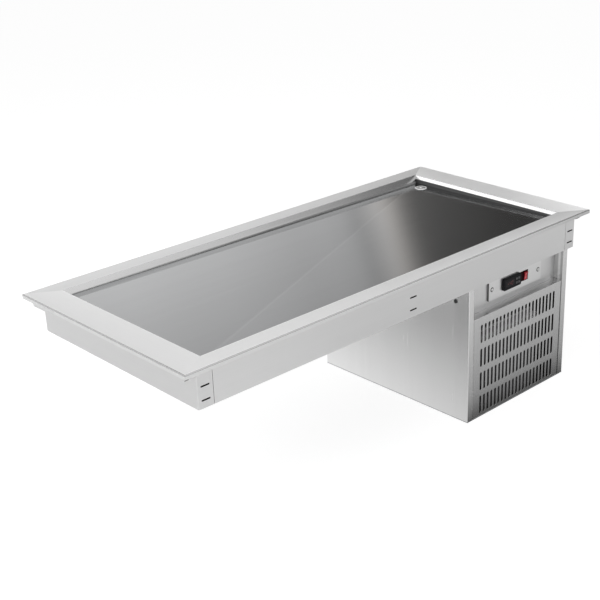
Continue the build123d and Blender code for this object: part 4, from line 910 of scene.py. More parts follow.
def make_grille():
    """Slotted front with its folded shelf and side returns."""
    low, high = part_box("grille_panel")
    middle_x = (low.x + high.x) / 2
    shoulder = high.z - POST_BEND
    rows = int((shoulder - cad_low.z - GRILLE_LOWEST - GRILLE_SLOT / 2) / GRILLE_PITCH_Z) + 1
    columns = int((high.x - low.x - 2 * GRILLE_MARGIN - GRILLE_SLOT_WIDTH) / GRILLE_PITCH_X) + 1
    holes = []
    for row in range(rows):
        z = cad_low.z + GRILLE_LOWEST + row * GRILLE_PITCH_Z
        for column in range(columns):
            x = middle_x + (column - (columns - 1) / 2) * GRILLE_PITCH_X
            holes.append((x, z, GRILLE_SLOT_WIDTH, GRILLE_SLOT, 6))
    mesh = bmesh.new()
    outline = rectangle(low.x + GRILLE_FOLD, high.x - GRILLE_FOLD, low.z, shoulder)
    pierced_sheet(mesh, outline, holes, "y", low.y, low.y + GRILLE_SHEET)
    bend = (low.y + POST_BEND, shoulder)
    fold = [*arc(*bend, POST_BEND, 180, 90, 6), (high.y, high.z), (high.y, high.z - SHEET)]
    fold += arc(*bend, POST_BEND - SHEET, 90, 180, 6)
    extruded(mesh, fold, "x", low.x, high.x)
    back = low.y + GRILLE_RETURN
    for edge, way in ((low.x, 1), (high.x, -1)):
        bend = (edge + GRILLE_FOLD, low.y + GRILLE_FOLD)
        fold = [(edge, back), *arc(*bend, GRILLE_FOLD, 180, 270), *arc(*bend, GRILLE_FOLD - SHEET, 270, 180)]
        fold.append((edge + SHEET, back))
        extruded(mesh, [(edge + way * (x - edge), y) for x, y in fold], "z", low.z, shoulder)
    front = piece("slotted_front", mesh, housing_finish, "grille_panel")
    front.data.materials.append(bend_shade_finish)
    # Side folds take the darker bend steel: painted shade at the seams beside the posts
    for face in front.data.polygons:
        at_end = min(face.center.x - low.x, high.x - face.center.x) < GRILLE_FOLD
        if at_end and face.center.z < shoulder and abs(face.normal.x) > 0.1:
            face.material_index = 1


def make_rear_panel():
    """Back panel with level round-ended vents, the drain hole and the gland hole."""
    low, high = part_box("housing_rear_panel")
    middle_x = (low.x + high.x) / 2
    holes = []
    for row in range(VENT_ROWS):
        holes.append((middle_x, cad_low.z + VENT_LOWEST + row * VENT_PITCH, VENT_LENGTH, VENT_WIDTH, 6))
    bend_low, bend_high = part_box("drain_elbow")
    drain_radius = (bend_high.x - bend_low.x) / 2
    drain_hole = 2 * drain_radius + DRAIN_HOLE_PLAY
    holes.append(((bend_low.x + bend_high.x) / 2, bend_low.z + drain_radius, drain_hole, drain_hole, 8))
    x, _, z = middle_of(*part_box("cable_gland"))
    holes.append((x, z, GLAND_HOLE, GLAND_HOLE, 8))
    mesh = bmesh.new()
    outline = rectangle(low.x, high.x, low.z, high.z)
    pierced_sheet(mesh, outline, holes, "y", high.y, high.y - SHEET)
    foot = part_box("housing_base")[1].z
    for edge in (low.x, high.x - SHEET):
        inside = high.y - SHEET
        bar(mesh, edge, edge + SHEET, inside - REAR_FLANGE, inside, foot, high.z, 0.1 * MM)
    piece("vented_back", mesh, housing_finish, "housing_rear_panel")


# Screws

# Shares of the head's radius and height
PAN_HEAD = ((0, 0), (1, 0), (1, 0.45), (0.97, 0.58), (0.9, 0.68), (0.72, 0.86), (0.42, 0.97), (0, 1))
SEAL_RING = ((1.01, 0), (1.34, 0), (1.34, 0.12), (1.26, 0.2), (1.01, 0.2))
CONTROL_SHANK = 1.9 * MM
SIDE_SHANK = 2.4 * MM
SIDE_LENGTH = 10.0 * MM


def sized(shape, radius, height):
    """Profile of shares brought to a radius and a height."""
    return [(r * radius, h * height) for r, h in shape]


def screw_head(radius, height, recess_share):
    """Screw head with a cross recess, standing on the origin along Z."""
    mesh = bmesh.new()
    turned(mesh, sized(PAN_HEAD, radius, height), (0, 0, 0), sides=36)
    arm = radius * recess_share
    half = arm * 0.25
    for u, v, floor in ((arm, half, 0.25), (half, arm, 0.26)):
        recess = bmesh.new()
        ends = []
        for scale, level in ((0.6, floor), (1.15, 1.3)):
            ends.append([(x * scale, y * scale, height * level) for x, y in rectangle(-u, u, -v, v)])
        prism(recess, *ends)
        mesh = cut(mesh, recess)
    return mesh


def make_screws(name, node, head, shank, finish, places):
    """Screws at places, each with the direction of its head and its length."""
    data = mesh_data("head", head)
    mesh = bmesh.new()
    for origin, direction, length in places:
        count = len(mesh.verts)
        mesh.from_mesh(data)
        mesh.verts.ensure_lookup_table()
        bmesh.ops.transform(mesh, matrix=stand(origin, direction), verts=mesh.verts[count:])
        profile = [(0, -length), (shank * 0.6, -length), (shank, -length * 0.85), (shank, 0), (0, 0)]
        turned(mesh, profile, origin, direction, 20)
    bpy.data.meshes.remove(data)
    piece(name, mesh, finish, node)


def make_fixings():
    """Screws of the control plate, with the seals under their heads, and of the side panels."""
    low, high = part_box("control_plate_screws")
    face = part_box("control_plate")[0].y
    radius = (high.z - low.z) / 2
    z = (low.z + high.z) / 2
    places = [((x, face, z), FRONT, high.y - face) for x in (low.x + radius, high.x - radius)]
    rise = face - low.y
    head = screw_head(radius, rise, 0.3)
    make_screws("control_screws", "control_plate_screws", head, CONTROL_SHANK, screw_finish, places)
    mesh = bmesh.new()
    for origin, direction, _ in places:
        turned(mesh, sized(SEAL_RING, radius, rise), origin, direction, 36, closed=True)
    piece("screw_seals", mesh, rubber_finish)
    low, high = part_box("side_panel_screws")
    radius = (high.z - low.z) / 2
    z = (low.z + high.z) / 2
    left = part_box("housing_left_panel")[0].x
    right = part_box("housing_right_panel")[1].x
    places = []
    for y in (low.y + radius, high.y - radius):
        places += [((left, y, z), LEFT, SIDE_LENGTH), ((right, y, z), X, SIDE_LENGTH)]
    head = screw_head(radius, left - low.x, 0.52)
    make_screws("side_screws", "side_panel_screws", head, SIDE_SHANK, shaded_screw_finish, places)


# Controls

FIGURES = {"4": "bcfg", "0": "abcdef", "-": "g"}
FIGURE_SLANT = 0.12
PRINT = 0.12 * MM
ROCKER_TILT = math.radians(9.0)
ROCKER_WIDTH = 14.4 * MM
ROCKER_HALF = 10.8 * MM
ROCKER_PIVOT_DEPTH = 3.5 * MM
ROCKER_END_PROUD = 2.3 * MM
ROCKER_MIDDLE_PROUD = 0.6 * MM
ROCKER_BELLY = 6.0 * MM
ROCKER_DISH = 0.35 * MM
ROCKER_EASE = 0.5 * MM
# Radius and height in millimetres
ROCKER_PIN = ((0, 0), (1.5, 0), (1.5, 1.2), (1.2, 1.4), (0, 1.4))
MARK_LINE = rectangle(-0.4 * MM, 0.4 * MM, 3.6 * MM, 7.6 * MM)
MARK_RING_HEIGHT = -5.6 * MM
MARK_RING_INNER = 1.4 * MM
MARK_RING_OUTER = 2.1 * MM
SEAL = 0.5 * MM


def figure_bars(mesh, x, y, z, height, lit):
    """Lit bars of one seven-segment figure, seen from the front."""
    width = height * 0.52
    half = height * 0.065
    gap = half * 1.15
    waist = height / 2
    spans = {
        "a": (0, height, width, height), "g": (0, waist, width, waist), "d": (0, 0, width, 0),
        "f": (0, waist, 0, height), "b": (width, waist, width, height),
        "e": (0, 0, 0, waist), "c": (width, 0, width, waist),
    }
    for letter in lit:
        u0, v0, u1, v1 = spans[letter]
        length = math.dist((u0, v0), (u1, v1))
        du = (u1 - u0) / length
        dv = (v1 - v0) / length
        outline = []
        for along, across in (
            (gap, 0), (gap + half, half), (length - gap - half, half), (length - gap, 0),
            (length - gap - half, -half), (gap + half, -half),
        ):
            u = u0 + along * du - across * dv
            v = v0 + along * dv + across * du
            outline.append((x + u + FIGURE_SLANT * v, z + v))
        extruded(mesh, outline, "y", y, y - PRINT)


def make_display():
    """Figures on the thermostat window."""
    low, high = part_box("thermostat_lens")
    height = (high.z - low.z) * 0.56
    z = (low.z + high.z - height) / 2
    pitch = height * 0.86
    start = low.x + (high.x - low.x - 3 * pitch) / 2
    mesh = bmesh.new()
    for i, figure in enumerate("-40"):
        figure_bars(mesh, start + i * pitch, low.y, z, height, FIGURES[figure])
    piece("display_figures", mesh, digit_finish)


def make_button_marks():
    """Raised marks on the four thermostat keys: up, bar, down and dot."""
    up = [(-1, -0.7), (1, -0.7), (0, 1)]
    down = [(-1, 0.7), (0, -1), (1, 0.7)]
    for i, mark in enumerate((up, rectangle(-1, 1, -0.25, 0.25), down, arc(0, 0, 1, 0, 337.5, 15)), 1):
        key = "thermostat_button_%d" % i
        low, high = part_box(key)
        x, _, z = middle_of(low, high)
        size = (high.z - low.z) * 0.22
        mesh = bmesh.new()
        extruded(mesh, [(x + u * size, z + v * size) for u, v in mark], "y", low.y, low.y - PRINT)
        piece("key_mark_%d" % i, mesh, key_mark_finish, body=key)


def rocker_face(v):
    """Depth of the dished rocker face at a height from its middle."""
    share = abs(v) / ROCKER_HALF
    rise = ROCKER_END_PROUD - ROCKER_MIDDLE_PROUD
    return ROCKER_DISH * math.sin(math.pi * share) - ROCKER_PIVOT_DEPTH - ROCKER_MIDDLE_PROUD - rise * share


def make_rocker():
    """Red rocker with two dished halves on its stub pins, its printed marks and the seal by its frame."""
    low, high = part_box("switch_frame")
    x, _, z = middle_of(low, high)
    tip = Matrix.Translation((x, low.y + ROCKER_PIVOT_DEPTH, z)) @ Matrix.Rotation(ROCKER_TILT, 4, "X")
    heights = [ROCKER_HALF * (1 - i / 8) for i in range(17)]
    outline = [(0, ROCKER_HALF), *[(rocker_face(v), v) for v in heights], (0, -ROCKER_HALF)]
    outline += [(ROCKER_BELLY, -ROCKER_HALF / 2), (ROCKER_BELLY, ROCKER_HALF / 2)]
    half = ROCKER_WIDTH / 2
    rounding = sized(((1, 0), (0.3, 0.3), (0, 1)), ROCKER_EASE, ROCKER_EASE)
    right = [(half - inset, shrink) for inset, shrink in rounding]
    left = [(-u, shrink) for u, shrink in right[::-1]]
    mesh = bmesh.new()
    rings = []
    for u, shrink in left + right:
        ring = []
        for depth, v in outline:
            eased = depth + (shrink if depth < 0 else -shrink)
            ring.append(mesh.verts.new(tip @ Vector((u, eased, v * (1 - shrink / ROCKER_HALF)))))
        rings.append(ring)
    loft(mesh, rings)
    cap(mesh, rings)
    for way in (-1, 1):
        turned(mesh, sized(ROCKER_PIN, MM, MM), tip @ Vector((way * half, 0, 0)), (way, 0, 0), 20)
    piece("red_rocker", mesh, rocker_finish, "switch_rocker", "switch_rocker")

    def on_face(points, lift):
        """Flat points laid on the rocker's face."""
        return [tip @ Vector((u, rocker_face(v) - lift, v)) for u, v in points]

    mesh = bmesh.new()
    prism(mesh, on_face(MARK_LINE, -PRINT), on_face(MARK_LINE, PRINT))
    rings = []
    for reach, lift in rectangle(MARK_RING_INNER, MARK_RING_OUTER, -PRINT, PRINT):
        points = on_face(arc(0, MARK_RING_HEIGHT, reach, 0, 345, 23), lift)
        rings.append([mesh.verts.new(point) for point in points])
    loft(mesh, rings, closed=True)
    piece("rocker_marks", mesh, mark_finish, body="switch_rocker")

    case_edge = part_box("thermostat_case")[1].x
    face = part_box("control_plate")[0].y
    mesh = bmesh.new()
    bar(mesh, case_edge, low.x, face - SEAL, face, low.z, high.z, 0.1 * MM)
    piece("switch_seal", mesh, frame_finish)


# Condensing unit behind the grille

FINNED_SHARE = 0.77
FIN_HEADROOM = 26.0 * MM
FIN = 0.25 * MM
FIN_PITCH = 2.6 * MM
FIN_INSET = 1.0 * MM
CORE_PLATE = 1.2 * MM
CORE_TUBE = 4.0 * MM
CORE_ROWS = 6


def make_condenser():
    """Pack of thin fins between its plates, with the tubes running on bare at the right."""
    low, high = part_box("condenser_core")
    finned = (high.x - low.x) * FINNED_SHARE
    corners = rectangle(low.y + FIN_INSET, high.y - FIN_INSET, low.z + FIN_INSET, high.z - FIN_HEADROOM)
    mesh = bmesh.new()
    for x in (low.x, low.x + finned, high.x - CORE_PLATE):
        bar(mesh, x, x + CORE_PLATE, low.y, high.y, low.z, high.z)
    for i in range(int((finned - 2 * CORE_PLATE) / FIN_PITCH)):
        x = low.x + CORE_PLATE + FIN_PITCH + i * FIN_PITCH
        extruded(mesh, corners, "x", x - FIN / 2, x + FIN / 2)
    step = (high.z - low.z) / CORE_ROWS
    for row in range(CORE_ROWS):
        for start, stop in ((low.x, low.x + finned), (low.x + finned, high.x)):
            origin = (start, (low.y + high.y) / 2, low.z + step * (row + 0.5))
            length = stop - start
            turned(mesh, [(0, 0), (CORE_TUBE, 0), (CORE_TUBE, length), (0, length)], origin, X, 16)
    pack = piece("fin_pack", mesh, fin_finish, "condenser_core")
    # Right plate and bare tubes in near-black painted shadow
    pack.data.materials.append(shadow_black_finish)
    for face in pack.data.polygons:
        if face.center.x > low.x + finned - CORE_PLATE:
            face.material_index = 1


FAN_BLADES = 5
FAN_HUB = 32.0 * MM
FAN_HUB_DEPTH = 26.0 * MM
FAN_SHELL = 3.0 * MM
FAN_BOSS = 7.0 * MM
FAN_SHAFT = 4.2 * MM
FAN_WEB = 9.0 * MM
FAN_RADIUS = 110.0 * MM
BLADE_ROOT = FAN_HUB - 1.0 * MM
BLADE_HALF_DEPTH = 12.0 * MM
BLADE_HALF_THICKNESS = 1.2 * MM
BLADE_STATIONS = 9
BLADE_CHORDS = 8
# Degrees at the root and at the tip
BLADE_PITCH = (34.0, 20.0)
BLADE_LEAD = (28.0, 16.0)
BLADE_LAG = (30.0, 32.0)


def blade_side(mesh, centre, base, way):
    """Rows of vertices on one side of a twisted blade."""
    rows = []
    for station in range(BLADE_STATIONS):
        t = station / (BLADE_STATIONS - 1)
        r = BLADE_ROOT + (FAN_RADIUS - BLADE_ROOT) * t
        turns = [root + (tip - root) * t for root, tip in (BLADE_PITCH, BLADE_LEAD, BLADE_LAG)]
        pitch, lead, lag = [math.radians(turn) for turn in turns]
        row = []
        for chord in range(BLADE_CHORDS + 1):
            k = chord / BLADE_CHORDS
            angle = base + lead - (lead + lag) * k
            rise = math.sin(pitch) * (lead + lag) * (0.5 - k) * r * 0.8
            thick = way * BLADE_HALF_THICKNESS * (0.25 + 0.75 * math.sin(math.pi * k))
            y = centre[1] + max(-BLADE_HALF_DEPTH, min(BLADE_HALF_DEPTH, rise)) + thick
            x = centre[0] + r * math.cos(angle)
            row.append(mesh.verts.new((x, y, centre[2] + r * math.sin(angle))))
        rows.append(row)
    for a, b in zip(rows, rows[1:]):
        for c in range(BLADE_CHORDS):
            mesh.faces.new((a[c], a[c + 1], b[c + 1], b[c]))
    return rows


def make_fan():
    """Five-bladed fan with twisted blades on a domed hub."""
    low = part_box("fan_rotor")[0]
    x, _, z = middle_of(*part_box("fan_motor"))
    mesh = bmesh.new()
    profile = [(0, 0), (FAN_HUB * 0.6, 0.4 * MM), (FAN_HUB * 0.92, 2.2 * MM), (FAN_HUB, 6 * MM)]
    profile += [(FAN_HUB, FAN_HUB_DEPTH), (FAN_HUB - FAN_SHELL, FAN_HUB_DEPTH)]
    profile += [(FAN_HUB - FAN_SHELL, FAN_WEB), (FAN_BOSS, FAN_WEB), (FAN_BOSS, FAN_HUB_DEPTH)]
    profile += [(FAN_SHAFT, FAN_HUB_DEPTH), (FAN_SHAFT, FAN_WEB - 1 * MM), (0, FAN_WEB - 1 * MM)]
    turned(mesh, profile, (x, low.y, z), Y, 48)
    for blade in range(FAN_BLADES):
        rims = []
        for way in (-1, 1):
            centre = (x, low.y + FAN_HUB_DEPTH / 2, z)
            rows = blade_side(mesh, centre, 2 * math.pi * blade / FAN_BLADES, way)
            trailing = [row[-1] for row in rows[1:-1]]
            leading = [row[0] for row in rows[-2:0:-1]]
            rims.append(rows[0] + trailing + rows[-1][::-1] + leading)
        loft(mesh, rims)
    piece("axial_fan", mesh, fan_finish, "fan_rotor", "fan_rotor", 50.0)


MOTOR_LENGTH = 60.0 * MM
MOTOR_RIBS = 7
MOTOR_FIRST_RIB = 8.0 * MM
MOTOR_RIB_PITCH = 6.4 * MM
# Share of the radius, and height in metres
MOTOR_RIB = ((0.94, 0), (1, 0.8 * MM), (1, 3.2 * MM), (0.94, 4 * MM))


def make_motor():
    """Fan motor can with cooling ribs and its shaft."""
    low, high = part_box("fan_motor")
    radius = (high.x - low.x) / 2
    x, _, z = middle_of(low, high)
    start = high.y - MOTOR_LENGTH
    mesh = bmesh.new()
    profile = [(0, 0), (0.5, 0), (0.86, 2 * MM), (0.96, 5 * MM)]
    for rib in range(MOTOR_RIBS):
        at = MOTOR_FIRST_RIB + rib * MOTOR_RIB_PITCH
        profile += [(share, at + height) for share, height in MOTOR_RIB]
    profile += [(0.96, 55 * MM), (0.86, 58.5 * MM), (0.4, MOTOR_LENGTH), (0, MOTOR_LENGTH)]
    turned(mesh, sized(profile, radius, 1), (x, start, z), Y, 48)
    tip = low.y + 0.4 * MM
    shaft = start - tip + 2 * MM
    profile = [(0, 0), (3.4 * MM, 0), (4 * MM, 0.6 * MM), (4 * MM, shaft), (0, shaft)]
    turned(mesh, profile, (x, tip, z), Y, 24)
    piece("motor_can", mesh, paint_finish, "fan_motor")


FOOT_PLATE = 3.0 * MM
FOOT_HALF_DEPTH = 75.0 * MM
FOOT_CORNER = 16.0 * MM
FOOT_HOLE = 6.6 * MM
CROWN = 46.0 * MM
PORT = 6.0 * MM
PORT_REACH = 14.0 * MM
PORT_LENGTH = 50.0 * MM
# Places from the shell's axis and from its foot
PORT_PLACES = ((30 * MM, 160 * MM), (-30 * MM, 110 * MM))
MOUNT_RADIUS = 12.0 * MM
# Shares of the mount's radius and height
MOUNT = (
    (0.28, 0), (0.95, 0), (1, 0.045), (1, 0.28), (0.8, 0.39), (0.8, 0.61), (0.93, 0.72), (0.93, 0.955),
    (0.87, 1), (0.28, 1),
)
BOLT_ACROSS = 9.6 * MM
BOLT_HEAD = 5.0 * MM


def mount_places():
    """Places of the compressor's four mounts."""
    low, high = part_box("compressor_grommets")
    rows = (low.y + MOUNT_RADIUS, high.y - MOUNT_RADIUS)
    return [(x, y) for x in (low.x + MOUNT_RADIUS, high.x - MOUNT_RADIUS) for y in rows]


def make_compressor():
    """Hermetic compressor: drawn shell with its seam, pressed foot and port stubs."""
    low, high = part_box("compressor")
    x, y, _ = middle_of(low, high)
    radius = (high.y - low.y) / 2
    shell = low.z + FOOT_PLATE
    top = high.z - shell
    seam = top * 0.58
    crown_radius = radius * 0.965
    mesh = bmesh.new()
    profile = [(0, 0), (radius * 0.86, 0), *arc(radius * 0.86 - 2 * MM, 14 * MM, radius * 0.14, -80, 0, 5)]
    profile += [(radius * 0.985, 20 * MM), (radius * 0.985, seam - 3 * MM), (radius, seam - 2 * MM)]
    profile += [(radius, seam + 2 * MM), (crown_radius, seam + 3 * MM), (crown_radius, top - CROWN)]
    profile += [*ellipse(0, top - CROWN, crown_radius, CROWN, range(10, 90, 10)), (0, top)]
    turned(mesh, profile, (x, y, shell), sides=64)
    run_x = (high.x - low.x) / 2 - FOOT_CORNER
    outline = corner_arcs(x, y, run_x, FOOT_HALF_DEPTH - FOOT_CORNER, FOOT_CORNER, 5)
    holes = [(u, v, FOOT_HOLE, FOOT_HOLE, 4) for u, v in mount_places()]
    pierced_sheet(mesh, outline, holes, "z", shell, low.z)
    tip = radius + PORT_REACH
    root = tip - PORT_LENGTH
    profile = [(0, root), (PORT, root), (PORT, tip - 1 * MM), (PORT * 0.9, tip), (0, tip)]
    for across, up in PORT_PLACES:
        turned(mesh, profile, (x, y + across, shell + up), X, 24)
    piece("compressor_shell", mesh, paint_finish, "compressor")


def make_mounts():
    """Rubber mounts of the compressor and their bolts."""
    low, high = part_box("compressor_grommets")
    mesh = bmesh.new()
    for x, y in mount_places():
        turned(mesh, sized(MOUNT, MOUNT_RADIUS, high.z - low.z), (x, y, low.z), sides=32, closed=True)
    piece("rubber_mounts", mesh, rubber_finish, "compressor_grommets")
    low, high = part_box("compressor_bolts")
    shank = high.z - BOLT_HEAD - low.z
    profile = [(0, 0), (2.4 * MM, 0), (3 * MM, 0.8 * MM), (3 * MM, shank), (0, shank)]
    mesh = bmesh.new()
    for x, y in mount_places():
        hexagon(mesh, (x, y, high.z - BOLT_HEAD), Z, BOLT_ACROSS, BOLT_HEAD)
        turned(mesh, profile, (x, y, low.z), sides=20)
    piece("mount_bolts", mesh, screw_finish, "compressor_bolts")


DRIER_NECK = 5.2 * MM


def make_drier():
    """Spun copper filter drier with necked ends."""
    low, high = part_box("filter_drier")
    x, _, z = middle_of(low, high)
    radius = (high.x - low.x) / 2
    length = high.y - low.y
    start = [(DRIER_NECK, 0), (DRIER_NECK, 10 * MM), (6.5 * MM, 13 * MM)]
    start += [(radius * 0.8, 17 * MM), (radius, 24 * MM)]
    profile = [(0, 0), *start, *[(r, length - h) for r, h in reversed(start)], (0, length)]
    mesh = bmesh.new()
    turned(mesh, profile, (x, low.y, z), Y)
    piece("drier_shell", mesh, copper_finish, "filter_drier", smooth=50.0)


GLAND_BORE = 4.5 * MM
GLAND_SLEEVE = 10.0 * MM
GLAND_HEXAGON = 7.0 * MM
GLAND_CAP = 11.2 * MM
GLAND_RIBS = 20
# Share of the cap's radius, and height above the panel in metres
GLAND_CAP_SHAPE = ((1, 1 * MM), (1, 7 * MM), (0.97, 13 * MM), (0.86, 17 * MM), (0.7, 20.4 * MM))
GLAND_RIB = ((0, 8 * MM), (0.8 * MM, 8 * MM), (0.8 * MM, 13 * MM), (0, 13.6 * MM))


def make_gland():
    """Cable gland: hexagon, ribbed cap with a rounded mouth and the sleeve through the panel."""
    low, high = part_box("cable_gland")
    x, _, z = middle_of(low, high)
    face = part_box("housing_rear_panel")[1].y
    inside = face - low.y
    mouth = high.y - low.y
    mesh = bmesh.new()
    hexagon(mesh, (x, face, z), Y, high.x - low.x, GLAND_HEXAGON, GLAND_BORE + 0.1 * MM)
    profile = [(GLAND_BORE, 0), (GLAND_SLEEVE, 0), (GLAND_SLEEVE, inside + 0.5 * MM)]
    profile += [(share * GLAND_CAP, inside + height) for share, height in GLAND_CAP_SHAPE]
    profile += [(GLAND_CAP * 0.6, mouth), (GLAND_BORE, mouth)]
    turned(mesh, profile, (x, low.y, z), Y, closed=True)
    ribs = [360 * rib / GLAND_RIBS for rib in range(GLAND_RIBS)]
    for u, v in ellipse(x, z, GLAND_CAP * 0.97, GLAND_CAP * 0.97, ribs):
        turned(mesh, GLAND_RIB, (u, face, v), Y, 8)
    piece("gland_body", mesh, fan_finish, "cable_gland")


# Studio

def studio_floor():
    """White floor that keeps the shadow, seen paler by the camera than by the steel."""
    half = FLOOR_SIZE / 2
    data = bpy.data.meshes.new("studio_floor")
    data.from_pydata([(u, v, cad_low.z) for u, v in rectangle(-half, half, -half, half)], [], [(0, 1, 2, 3)])
    floor = placed("studio_floor", data)
    material, tree = bare_material("studio floor")
    rays = add_node(tree, "LightPath").outputs

    def cloth(tone, strength):
        """Matt cloth with a little glow of its own."""
        matt = add_node(tree, "BsdfDiffuse", {"Color": grey(tone)})
        glow = add_node(tree, "Emission", {"Strength": strength})
        return add_node(tree, "AddShader", {0: matt.outputs[0], 1: glow.outputs[0]}).outputs[0]

    def either(share, first, second):
        """One of two cloths, by the kind of ray."""
        return add_node(tree, "MixShader", {0: share, 1: first, 2: second}).outputs[0]

    in_steel = cloth(FLOOR_IN_STEEL_GREY, FLOOR_IN_STEEL_GLOW)
    seen = either(rays["Is Glossy Ray"], cloth(FLOOR_GREY, 0.0), in_steel)
    seen = either(rays["Is Camera Ray"], seen, cloth(FLOOR_SHADOW_GREY, FLOOR_GLOW))
    add_node(tree, "OutputMaterial", {"Surface": seen})
    data.materials.append(material)


def reflector(name, rows, tones, foot_strength=1.0, head_strength=1.0):
    """Card that only the steel sees: rows of foot and head points, toned from its first row to its last."""
    count = len(rows) - 1
    data = bpy.data.meshes.new(name)
    points = [point for row in rows for point in row]
    data.from_pydata(points, [], [(2 * i, 2 * i + 2, 2 * i + 3, 2 * i + 1) for i in range(count)])
    layer = data.uv_layers.new(name="across")
    for loop in data.loops:
        step, level = divmod(loop.vertex_index, 2)
        layer.data[loop.index].uv = (step / count, level)
    panel = placed(name, data)
    panel.visible_camera = False
    panel.visible_diffuse = False
    panel.visible_shadow = False
    material, tree = bare_material(name)
    across = add_node(tree, "SeparateXYZ", {0: add_node(tree, "TexCoord").outputs["UV"]}).outputs
    ramp = add_node(tree, "ValToRGB", {0: across[0]})
    stops = ramp.color_ramp.elements
    stops.remove(stops[1])
    for i, (position, colour) in enumerate(tones):
        stop = stops[0] if i == 0 else stops.new(position)
        stop.position = position
        stop.color = colour
    strength = spread(tree, across[1], 0.0, 1.0, foot_strength, head_strength)
    glow = add_node(tree, "Emission", {"Color": ramp.outputs[0], "Strength": strength})
    add_node(tree, "OutputMaterial", {"Surface": glow.outputs[0]})
    data.materials.append(material)


def upright(name, centre, distance, tones, low, high, strengths=(1.0, 1.0), shifts=(0.0, 0.0)):
    """Curved card round a centre; its tones are set by angles from +X, shifted at its foot and head."""
    left = tones[0][0]
    right = tones[-1][0]
    steps = 48
    rows = []
    for i in range(steps + 1):
        row = []
        for level, shift in zip((low, high), shifts):
            turn = math.radians(left + (right - left) * i / steps + shift)
            row.append((centre[0] + distance * math.cos(turn), centre[1] + distance * math.sin(turn), level))
        rows.append(row)
    across = [((angle - left) / (right - left), colour) for angle, colour in tones]
    reflector(name, rows, across, *strengths)


def toned(*stops):
    """Tones of a card: places or angles, each with its grey and maybe its warmth."""
    return [(place, grey(*tone)) for place, *tone in stops]


CARD_STEPS = 20
FLOOR_SHADE_DEPTH = 0.9
FLOOR_SHADE_LEFT_REACH = 1.0
FLOOR_CARD_LIFT = 1.0 * MM


def room_cards():
    """Cards that stand for the walls and the ceiling round the photographed steel."""
    room = toned(
        (88.0, 0.62), (74.0, 0.72), (66.0, 0.95), (58.0, 0.94), (52.8, 0.79), (48.7, 0.615), (47.2, 0.59),
        (46.2, 0.54), (45.4, 0.43), (44.9, 0.49, 0.01), (44.3, 0.59, 0.02), (43.85, 0.54, 0.04),
        (43.4, 0.37, 0.04), (43.0, 0.23, 0.03), (42.6, 0.16, 0.03), (42.2, 0.125, 0.02), (41.2, 0.10, 0.02),
        (38.2, 0.06, 0.02), (36.5, 0.05, 0.02), (34.5, 0.40),
    )
    upright("room_behind", CAMERA_PLACE, 6.0, room, 0.3, 1.8, (1.5, 0.67), (1.5, -1.95))
    window_x = 0.015 - half_length
    rows = [((window_x, 0.35, 0.08), (window_x, 0.35, 0.60)), ((window_x, 2.0, 0.15), (window_x, 2.0, 1.0))]
    reflector("window_left", rows, toned((0.0, 1.0), (1.0, 1.0)), 1.25, 1.25)
    upright("ceiling_left", (well_x, 0.0), 2.5, toned((128.0, 0.05), (98.0, 0.05)), 1.95, 5.4)
    dark_side = toned(
        (-62.0, 0.85), (-58.0, 0.80), (-53.0, 0.72), (-48.5, 0.49), (-44.6, 0.33), (-42.0, 0.22),
        (-25.0, 0.20),
    )
    high_side = toned((-60.0, 1.35), (-18.5, 1.2), (-16.5, 0.6), (-14.5, 0.15), (5.0, 0.08))
    well_rear = (well_x / 2, well_y)
    upright("room_right", well_rear, 4.0, dark_side, 0.0, 2.5)
    upright("ceiling_right", well_rear, 4.0, high_side, 2.6, 8.0)


def floor_cards():
    """Cards on the floor that stand for its shade before and beside the housing."""
    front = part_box("grille_panel")[0].y
    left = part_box("housing_left_panel")[0].x
    level = cad_low.z + FLOOR_CARD_LIFT
    fall = toned(
        (0.0, 0.11), (0.045, 0.19), (0.12, 0.36), (0.28, 0.47), (0.47, 0.56), (0.67, 0.64), (1.0, 0.74),
    )
    places = [front - FLOOR_SHADE_DEPTH * i / CARD_STEPS for i in range(CARD_STEPS + 1)]
    right = half_length + FLOOR_SHADE_DEPTH
    reflector("floor_shade", [((left, y, level), (right, y, level)) for y in places], fall)
    fall = toned((0.0, 0.79), (0.25, 0.55), (0.37, 0.44), (0.50, 0.32), (0.64, 0.22), (1.0, 0.20))
    places = [left - FLOOR_SHADE_LEFT_REACH * i / CARD_STEPS for i in range(CARD_STEPS + 1)]
    reflector("floor_shade_left", [((x, -0.35, level), (x, 0.45, level)) for x in places], fall, 0.84, 1.24)
    far_left = -half_length - 0.3
    rows = [((far_left - 0.9, y, level), (far_left, y, level)) for y in (0.1, 1.5)]
    reflector("floor_far_left", rows, toned((0.0, 0.76), (1.0, 0.76)))


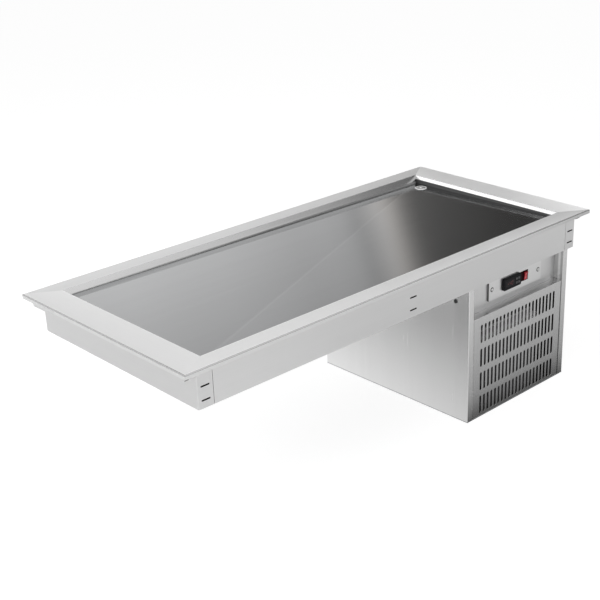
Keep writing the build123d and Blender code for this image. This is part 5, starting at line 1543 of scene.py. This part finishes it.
def studio_dome():
    """Soft light from all round, which the camera and the steel see as plain white."""
    world = bpy.data.worlds.new("studio")
    bpy.context.scene.world = world
    world.use_nodes = True
    tree = world.node_tree
    rays = add_node(tree, "LightPath").outputs
    sees = calc(tree, "MAXIMUM", rays["Is Camera Ray"], rays["Is Glossy Ray"])
    sees = calc(tree, "MAXIMUM", sees, rays["Is Transmission Ray"])
    strength = spread(tree, sees, 0.0, 1.0, DOME_STRENGTH, 1.0)
    feed(tree, tree.nodes["Background"], {"Color": grey(1.0), "Strength": strength})


def softbox(name, place, aim, size, power):
    """Square lamp that points at a place."""
    lamp = bpy.data.lights.new(name, "AREA")
    lamp.shape = "SQUARE"
    lamp.size = size
    lamp.energy = power
    holder = placed(name, lamp)
    holder.location = place
    holder.rotation_euler = (Vector(aim) - Vector(place)).to_track_quat("-Z", "Y").to_euler()
    holder.visible_glossy = False


def photo_camera():
    """Camera at the photograph's place and angle."""
    data = bpy.data.cameras.new("photo_camera")
    data.sensor_width = 36.0
    data.lens = CAMERA_LENS
    data.shift_x = CAMERA_SHIFT
    data.clip_end = 200.0
    turn = math.radians(CAMERA_AZIMUTH)
    lift = math.radians(CAMERA_ELEVATION)
    roll = math.radians(CAMERA_ROLL)
    back = Vector((math.sin(turn) * math.cos(lift), -math.cos(turn) * math.cos(lift), math.sin(lift)))
    right = (-back).cross(Vector(Z)).normalized()
    up = right.cross(-back)
    rolled_right = math.cos(roll) * right + math.sin(roll) * up
    rolled_up = -math.sin(roll) * right + math.cos(roll) * up
    axes = Matrix((rolled_right, rolled_up, back)).transposed().to_4x4()
    holder = placed("photo_camera", data)
    holder.matrix_world = Matrix.Translation(CAMERA_PLACE) @ axes
    bpy.context.scene.camera = holder


shade_finishes()
dress_nodes()
make_rim()
make_drain()
make_elbow()
make_grille()
make_rear_panel()
make_fixings()
make_display()
make_button_marks()
make_rocker()
make_condenser()
make_fan()
make_motor()
make_compressor()
make_mounts()
make_drier()
make_gland()

studio_floor()
room_cards()
floor_cards()
studio_dome()
softbox("key_softbox", (-2.6, 1.4, 0.9), (0.2, -0.1, -0.4), 1.6, 60)
softbox("top_softbox", (-0.8, -0.8, 2.6), (0, 0, 0), 2.2, 30)
photo_camera()
bpy.context.scene.view_settings.view_transform = "Standard"
